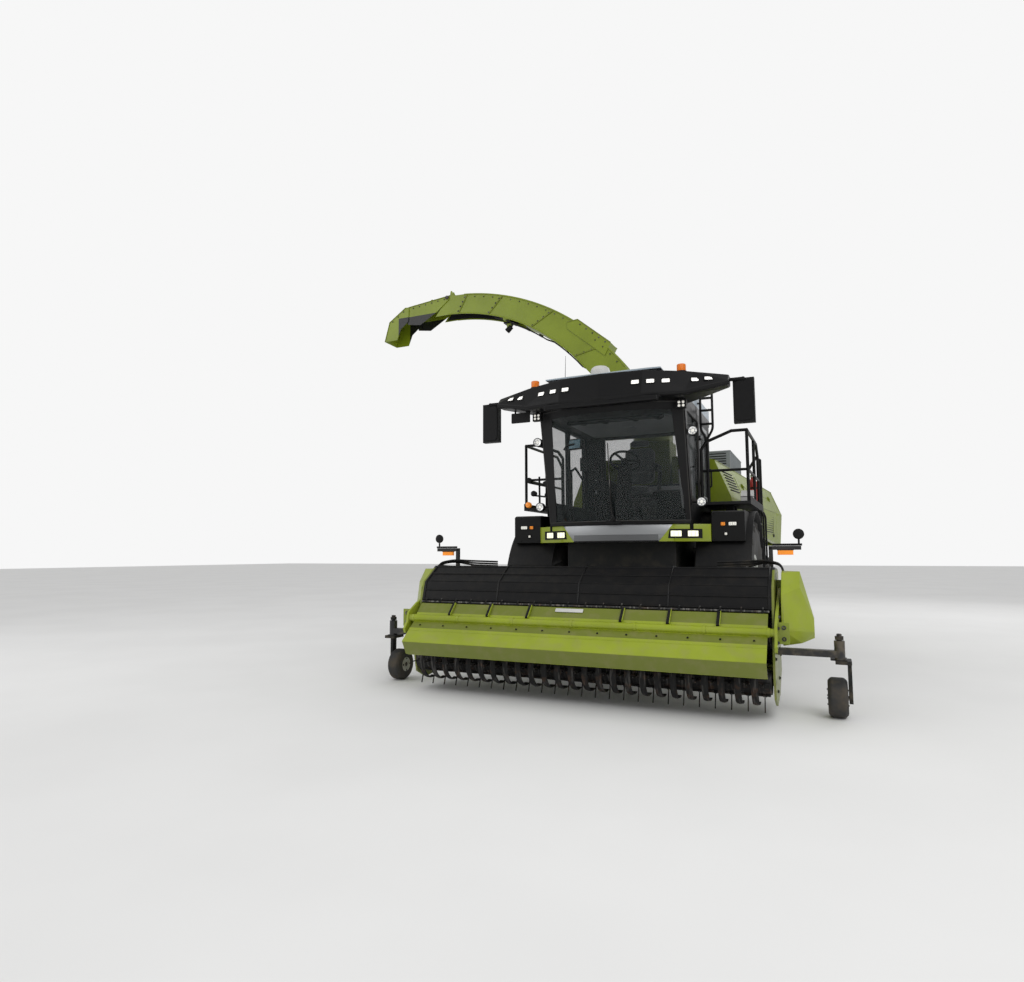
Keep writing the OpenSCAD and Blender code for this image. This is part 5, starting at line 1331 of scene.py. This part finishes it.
def spout_dressing():
    piece = Piece("spout_edges", "spout", GREEN, GREEN_PAINTED_SHADE, STEEL, matrix=SPOUT)
    for s in (-1, 1):
        back = [spout_point(BACK, 144 - 48.5 * i / 30) for i in range(31)]
        piece.tube([(x, s * 0.171, z - 0.004) for x, z in back], 0.013, 8)
        belly = [spout_point(BELLY, 141 - 48.5 * i / 30) for i in range(31)]
        piece.tube([(x, s * 0.171, z + 0.006) for x, z in belly], 0.011, 8)
        # Bolted seams across the sides in the green's darker copy as painted shade, bolts along the wear plates
        for turn in (137, 121, 106.5, 96.5):
            p, q = spout_point(BACK, turn), spout_point(BELLY, turn - 0.7)
            piece.tube([(p[0], s * 0.174, p[1]), (q[0], s * 0.174, q[1])], 0.011, 8, 1)
            for k in range(4):
                x, z = (a + (b - a) * (k + 0.6) / 4.2 for a, b in zip(p, q))
                piece.hex((x + 0.035, s * 0.171, z), (0, s, 0), 0.02, 0.009, 2)
        for i in range(18):
            x, z = spout_point(BACK, 142 - 2.55 * i, -0.05)
            piece.hex((x, s * (0.171 if i > 3 else 0.186), z), (0, s, 0), 0.016, 0.008, 2)
    for i in range(12):
        x, z = spout_point(BACK, 118 - 2.2 * i, 0.002)
        turn = math.radians(118 - 2.2 * i)
        for s in (-1, 1):
            piece.hex((x, s * 0.13, z), (math.cos(turn), 0, math.sin(turn)), 0.016, 0.007, 2)
    # Lid of the raised cover, with its hinge and bolts
    for s in (-1, 1):
        piece.tube([(0.60, s * 0.187, 4.85), (1.15, s * 0.187, 5.31), (1.33, s * 0.187, 5.29)], 0.008, 8, 1)
        for t in (0.1, 0.3, 0.5, 0.7, 0.9):
            piece.hex((0.64 + 0.52 * t, s * 0.185, 4.83 + 0.43 * t), (0, s, 0), 0.018, 0.009, 2)
    piece.done(slot="green")

    piece = Piece("spout_liner", "spout", HOSE, matrix=SPOUT)
    outline = [spout_point(BACK, 116 - 25 * i / 16, -0.016) for i in range(17)]
    outline += [spout_point(BELLY, 89 + 24 * i / 16, 0.012) for i in range(17)]
    for s in (-1, 1):
        piece.prism(outline, 0.003, sideways(s * 0.1535 - 0.0015))
    rings = []
    for i in range(17):
        x, z = spout_point(BACK, 116 - 25 * i / 16, -0.02)
        rings.append([(x, -0.15, z), (x, 0.15, z), (x, 0.15, z + 0.003), (x, -0.15, z + 0.003)])
    piece.rings(rings)
    piece.done(slot="black")

    piece = Piece("spout_camera", "spout", BLACK, LAMP_GLASS, HOSE, STEEL, matrix=SPOUT)
    spot, aim = (2.455, 0, 5.40), (0.75, 0, -0.66)
    piece.lathe([(-0.05, 0.03), (-0.045, 0.045), (0.03, 0.047), (0.055, 0.05), (0.065, 0.046)], spot, aim, 28)
    piece.lathe([(0.063, 0.036), (0.068, 0.028), (0.07, 0.008)], spot, aim, 28, 1)
    piece.tube([(2.40, 0.06, 5.50), (2.36, 0.06, 5.42), (2.43, 0.03, 5.39)], 0.010, 8, 2, bend=0.06)
    piece.block((2.36, -0.06, 5.485), (2.54, 0.06, 5.512))
    # Pipes along the belly to the flap, with their clips
    for k in range(2):
        side = 0.10 + 0.035 * k
        line = [spout_point(BELLY, 140 - 2.3 * i, -0.02 - (0.03 if 5 < i < 12 else 0.0)) for i in range(15)]
        piece.tube([(x, side, z) for x, z in line], 0.010, 8, 2)
    for i in (0, 3, 13):
        x, z = spout_point(BELLY, 140 - 2.3 * i, -0.012)
        piece.slab(0.05, 0.11, 0.01, 0.03, shift(x, 0.117, z - 0.012) @ Matrix.Rotation(math.radians(-40), 4, "Y"), 3)
    for i in (7, 9, 11):
        x, z = spout_point(BELLY, 140 - 2.3 * i, -0.045)
        piece.lathe([(-0.04, 0.014), (-0.035, 0.02), (0.035, 0.02), (0.04, 0.014)], (x, 0.117, z), (0.75, 0, 0.5),
                    16, 3)
    piece.done(0.001)

    piece = Piece("flap_trim", "flap", GREEN_PAINTED_SHADE, STEEL, matrix=SPOUT)
    # Edge lines along the flap's sides in the green's darker copy as painted shade, with bolts and a boss
    for s in (-1, 1):
        piece.tube([(3.60, s * 0.187, 6.10), (4.40, s * 0.187, 6.025)], 0.009, 8)
        for i in range(6):
            piece.hex((3.66 + 0.13 * i, s * 0.184, 6.055 - 0.012 * i), (0, s, 0), 0.018, 0.009, 1)
        piece.lathe([(0, 0.036), (0.012, 0.034), (0.018, 0.02)], (3.60, s * 0.186, 6.08), (0, s, 0), 24, 1)
    piece.done(0.001)
    piece = Piece("tip_trim", "tip", GREEN_PAINTED_SHADE, STEEL, matrix=SPOUT)
    # Edge lines along the tip's sides in the green's darker copy as painted shade, with bolts
    for s in (-1, 1):
        piece.tube([(4.47, s * 0.201, 6.02), (4.815, s * 0.201, 5.795), (4.912, s * 0.201, 5.447)], 0.008, 8)
        for t in (0.15, 0.5, 0.85):
            piece.hex((4.46 + 0.34 * t, s * 0.199, 5.985 - 0.22 * t), (0, s, 0), 0.018, 0.009, 1)
    piece.done(0.001)

    piece = Piece("turret_ring", "turret", STEEL)
    for turn in around(24):
        piece.hex((SPOUT_X + 0.275 * math.cos(turn), 0.275 * math.sin(turn), 3.3605), UP, 0.024, 0.013)
    piece.done(0.001)


def deck_dressing():
    piece = pair("deck_tread", "chassis", STEEL, FRAME)
    for columns, x0, rows, y0, gap in ((21, -0.57, 5, 0.985, 0.108), (17, -1.44, 2, 1.37, 0.09)):
        for i in range(columns):
            for k in range(rows):
                turn = Matrix.Rotation(math.radians(45 if (i + k) % 2 else -45), 4, "Z")
                piece.prism(rounded(0.044, 0.010, 0.004, 2), 0.003, shift(x0 + 0.052 * i, y0 + gap * k, DECK) @ turn)
    # Toe board along the outer edge
    piece.block((-1.47, 1.530, DECK - 0.04), (0.498, 1.539, DECK + 0.06), 1)
    piece.done(slot="frame_grey")

    # Ladder of three rungs to the roof, its tubes joined into one below
    piece = Piece("roof_ladder", "chassis", BLACK, RUBBER)
    x = 0.47
    piece.tube([(x, 1.03, 2.86), (x, 1.03, 2.97), (x, 0.955, 3.10), (x, 0.955, 3.585), (x, 1.0, 3.64),
                (x, 1.06, 3.64), (x, 1.105, 3.585), (x, 1.105, 3.10), (x, 1.03, 2.97)], 0.016, 12, bend=0.05)
    piece.tube([(x, 1.03, 2.16), (x, 1.03, 2.90)], 0.018, 12)
    for z in (3.16, 3.34, 3.50):
        piece.slab(0.05, 0.15, 0.012, 0.022, shift(x, 1.03, z))
        for k in range(4):
            piece.block((x - 0.024, 0.975 + 0.028 * k, z + 0.022), (x + 0.024, 0.985 + 0.028 * k, z + 0.026), 1)
    piece.tube([(x, 0.955, 3.45), (x, HALF, 3.45)], 0.012, 10)
    piece.done(0.002)

    piece = Piece("grab_bar", "chassis", BLACK)
    piece.tube([(1.01, -HALF, 2.12), (1.01, -0.99, 2.12), (1.01, -0.99, 3.19), (1.01, -HALF, 3.19)], 0.014, 12,
               bend=0.07)
    for z in (2.12, 3.19):
        piece.lathe([(0, 0.03), (0.008, 0.028)], (1.01, -HALF, z), RIGHT, 20)
    piece.done()

    # Post with lamps on the machine's right platform
    piece = Piece("post_lamps", "chassis", BLACK, PLASTIC, AMBER)
    piece.tube([(0.49, -1.30, 2.16), (0.50, -1.30, 2.56), (0.50, -1.30, 2.60)], 0.014, 12, bend=0.06)
    piece.tube([(0.50, -1.46, 2.52), (0.50, -1.12, 2.44)], 0.012, 10)
    piece.tube([(0.50, -1.42, 2.34), (0.50, -1.14, 2.30)], 0.012, 10)
    for y, z in ((-1.45, 2.55), (-1.20, 2.49), (-1.38, 2.36), (-1.17, 2.33)):
        piece.lathe([(-0.06, 0.016), (-0.05, 0.036), (0.0, 0.042), (0.012, 0.040), (0.012, 0.035), (0.004, 0.034)],
                    (0.52, y, z), AHEAD, 28, 1, caps=False)
        piece.lathe([(0.006, 0.035), (0.002, 0.02), (0.0015, 0.006)], (0.52, y, z), AHEAD, 28, 1, caps=False)
        piece.lathe([(0.008, 0.034), (0.011, 0.028), (0.013, 0.008)], (0.52, y, z), AHEAD, 28)
    piece.lathe([(-0.03, 0.03), (-0.02, 0.042), (0.02, 0.042), (0.034, 0.034), (0.04, 0.012)], (0.52, -1.46, 2.20),
                AHEAD, 28, 2)
    piece.tube([(0.50, -1.46, 2.16), (0.50, -1.46, 2.20)], 0.014, 10, 1)
    piece.done()

    # Extinguisher on the left platform, in its bracket
    piece = Piece("extinguisher", "chassis", RED, PLASTIC, CHROME)
    spot = (-1.18, 1.42, DECK)
    piece.lathe([(0.0, 0.06), (0.006, 0.072), (0.03, 0.075), (0.36, 0.075), (0.40, 0.066), (0.43, 0.04),
                 (0.44, 0.022), (0.47, 0.022)], spot, sides=40)
    piece.lathe([(0.465, 0.026), (0.50, 0.026), (0.505, 0.02)], spot, sides=24, mat=2)
    piece.tube([(-1.18, 1.42, 2.65), (-1.12, 1.42, 2.68), (-1.06, 1.42, 2.66)], 0.009, 8, 1, bend=0.02)
    piece.tube([(-1.18, 1.42, 2.66), (-1.12, 1.42, 2.705), (-1.06, 1.42, 2.70)], 0.008, 8, 1, bend=0.02)
    for z in (2.24, 2.46):
        piece.lathe([(-0.012, 0.077), (0.012, 0.077)], (-1.18, 1.42, z), sides=40, mat=1)
    piece.block((-1.20, 1.49, 2.17), (-1.16, 1.515, 2.56), 1)
    piece.done(0.001)

    # Pale casing on the left platform's edge, with its lid
    piece = Piece("pale_casing", "chassis", WHITE, PLASTIC)
    piece.prism([(-0.52, 2.16), (-0.24, 2.16), (-0.24, 2.28), (-0.32, 2.36), (-0.52, 2.36)], 0.16, sideways(1.345))
    piece.tube([(-0.522, 1.344, 2.27), (-0.238, 1.344, 2.27), (-0.238, 1.506, 2.27), (-0.522, 1.506, 2.27)], 0.004,
               6, 1, closed=True)
    piece.done(0.012)

    piece = pair("tank_straps", "chassis", STEEL, PLASTIC)
    for x in (-1.95, -1.63, -1.30):
        piece.tube([(x, 1.0, 1.563), (x, 1.253, 1.563), (x, 1.253, 0.697), (x, 1.0, 0.697)], 0.014, 8, flat=0.4,
                   bend=0.05)
    piece.lathe([(0, 0.055), (0.03, 0.055), (0.04, 0.045)], (-1.45, 1.12, 1.56), UP, 32, 1)
    piece.done()

    piece = Piece("ladder_tread", "chassis", STEEL, BLACK)
    for i in range(5):
        z = 0.631 + 0.33 * i
        for k in range(9):
            piece.block((-1.405 + 0.035 * k, 1.39, z), (-1.393 + 0.035 * k, 1.51, z + 0.004))
    for x in (-1.47, -1.05):
        piece.tube([(x, 1.50, 1.30), (x, 1.565, 1.36), (x, 1.565, 2.05), (x, 1.535, 2.12)], 0.014, 10, 1, bend=0.06)
    piece.done(0.0008)

    piece = pair("mirror_faces", "chassis", MIRROR, PLASTIC, BLACK)
    m = plane((1.3885, 1.59, 3.33), BEHIND)
    piece.slab(0.20, 0.25, 0.03, 0.002, m)
    piece.slab(0.20, 0.17, 0.03, 0.002, plane((1.3885, 1.59, 3.08), BEHIND))
    piece.tube([(1.386, 1.49, 3.185), (1.386, 1.69, 3.185)], 0.005, 8, 1)
    piece.slab(0.19, 0.46, 0.05, 0.010, plane((1.4695, 1.59, 3.225), AHEAD), 2)
    piece.done(0.006)


# Each wheel: its place, face of the disc, outer edge and radius of the rim, and the rim's middle
WHEELS = (("front", 0.0, 0.98, 1.2055, 1.50, 0.50, 1.21), ("rear", -3.10, 0.745, 1.1555, 1.44, 0.37, 1.20))


def wheel_dressing():
    for side, sign in SIDES:
        for name, x, z, face, edge, rim_r, mid in WHEELS:
            piece = Piece(name + "_wheel_trim_" + side, name + "_wheel_" + side, RIM, STEEL, RUBBER,
                          matrix=mirrored(sign))
            # Lips of the rim, dish between them and the disc
            lip = [(0, -0.03), (0.012, -0.028), (0.022, -0.012), (0.022, 0.006), (0.010, 0.014), (0, 0.004)]
            for y, s in ((edge, 1), (2 * mid - edge, -1)):
                piece.lathe([(h, rim_r + out) for h, out in lip], (x, y, z), (0, s, 0), 72, caps=False)
            dish = [(0, -0.031), (0.05, -0.045), (0.10, -0.06), (0.16, -0.12), (0.165, -0.15)]
            piece.lathe([(h, rim_r + out) for h, out in dish], (x, face + 0.165, z), RIGHT, 72, caps=False)
            # Nuts, hub cap with its bolts, holes of the disc and valve
            for spot in circle((x, face, z), 0.165, 12):
                piece.hex(spot, LEFT, 0.034, 0.022, 1)
            cap = [(0, 0.10), (0.05, 0.098), (0.07, 0.085), (0.078, 0.05), (0.08, 0.01)]
            piece.lathe(cap, (x, face + 0.03, z), LEFT, 40, 1)
            for spot in circle((x, face + 0.105, z), 0.065, 6):
                piece.hex(spot, LEFT, 0.018, 0.008, 1)
            for spot in circle((x, face, z), rim_r - 0.12, 8, 0.5):
                piece.lathe([(0, 0.034), (0.004, 0.032), (0.001, 0.02)], spot, LEFT, 20, 2)
            piece.tube([(x + rim_r - 0.05, edge - 0.06, z), (x + rim_r - 0.045, edge + 0.01, z)], 0.007, 8, 2)
            piece.done(0.001, slot="rim")


header_dressing()
hood_dressing()
spout_dressing()
deck_dressing()
wheel_dressing()


# Floor, light and background

# Strength of the white surroundings as light and as seen, and what a reflection of them loses
LIT_BY, SEEN_AS, MIRRORED_LOSS = 0.72, 0.93, 0.3


def stage():
    bpy.ops.mesh.primitive_plane_add(size=160, location=(0, 0, 0))
    floor = bpy.context.object
    floor.name = "floor"
    n = Nodes("floor", (0.80, 0.80, 0.795), 0.9)
    n.link(n.mix(n.ramp(n.noise(0.5, 3.0), 0.3, 0.7), (0.79, 0.79, 0.785), (0.82, 0.82, 0.815)), n.shader,
           "Base Color")
    floor.data.materials.append(n.material)

    world = bpy.data.worlds.new("studio")
    bpy.context.scene.world = world
    world.use_nodes = True
    tree = world.node_tree
    seen = tree.nodes.new("ShaderNodeLightPath")
    more = tree.nodes.new("ShaderNodeMath")
    more.operation = "MAXIMUM"
    tree.links.new(seen.outputs["Is Camera Ray"], more.inputs[0])
    tree.links.new(seen.outputs["Is Transmission Ray"], more.inputs[1])
    strength = tree.nodes.new("ShaderNodeMapRange")
    strength.inputs["To Min"].default_value = LIT_BY
    strength.inputs["To Max"].default_value = SEEN_AS
    tree.links.new(more.outputs[0], strength.inputs["Value"])
    background = tree.nodes["Background"]
    background.inputs["Color"].default_value = (1, 1, 1, 1)
    dimmed = tree.nodes.new("ShaderNodeMath")
    dimmed.operation = "MULTIPLY_ADD"
    tree.links.new(seen.outputs["Is Glossy Ray"], dimmed.inputs[0])
    dimmed.inputs[1].default_value = -MIRRORED_LOSS
    tree.links.new(strength.outputs["Result"], dimmed.inputs[2])
    tree.links.new(dimmed.outputs[0], background.inputs["Strength"])


def light(name, place, aim, size, power):
    data = bpy.data.lights.new(name, "AREA")
    data.size = size
    data.energy = power
    lamp = bpy.data.objects.new(name, data)
    lamp.location = ORIGIN + Vector(place)
    lamp.rotation_euler = (Vector(aim) - Vector(place)).to_track_quat("-Z", "Y").to_euler()
    bpy.context.scene.collection.objects.link(lamp)


stage()
light("key", (9, 8, 10), (0, 0, 1.5), 8, 500)
light("fill", (8, -10, 7), (0, 0, 2), 8, 220)
light("rear", (-11, 7, 9), (-2, 0, 2), 7, 300)

view = bpy.context.scene.view_settings
view.view_transform = "Standard"
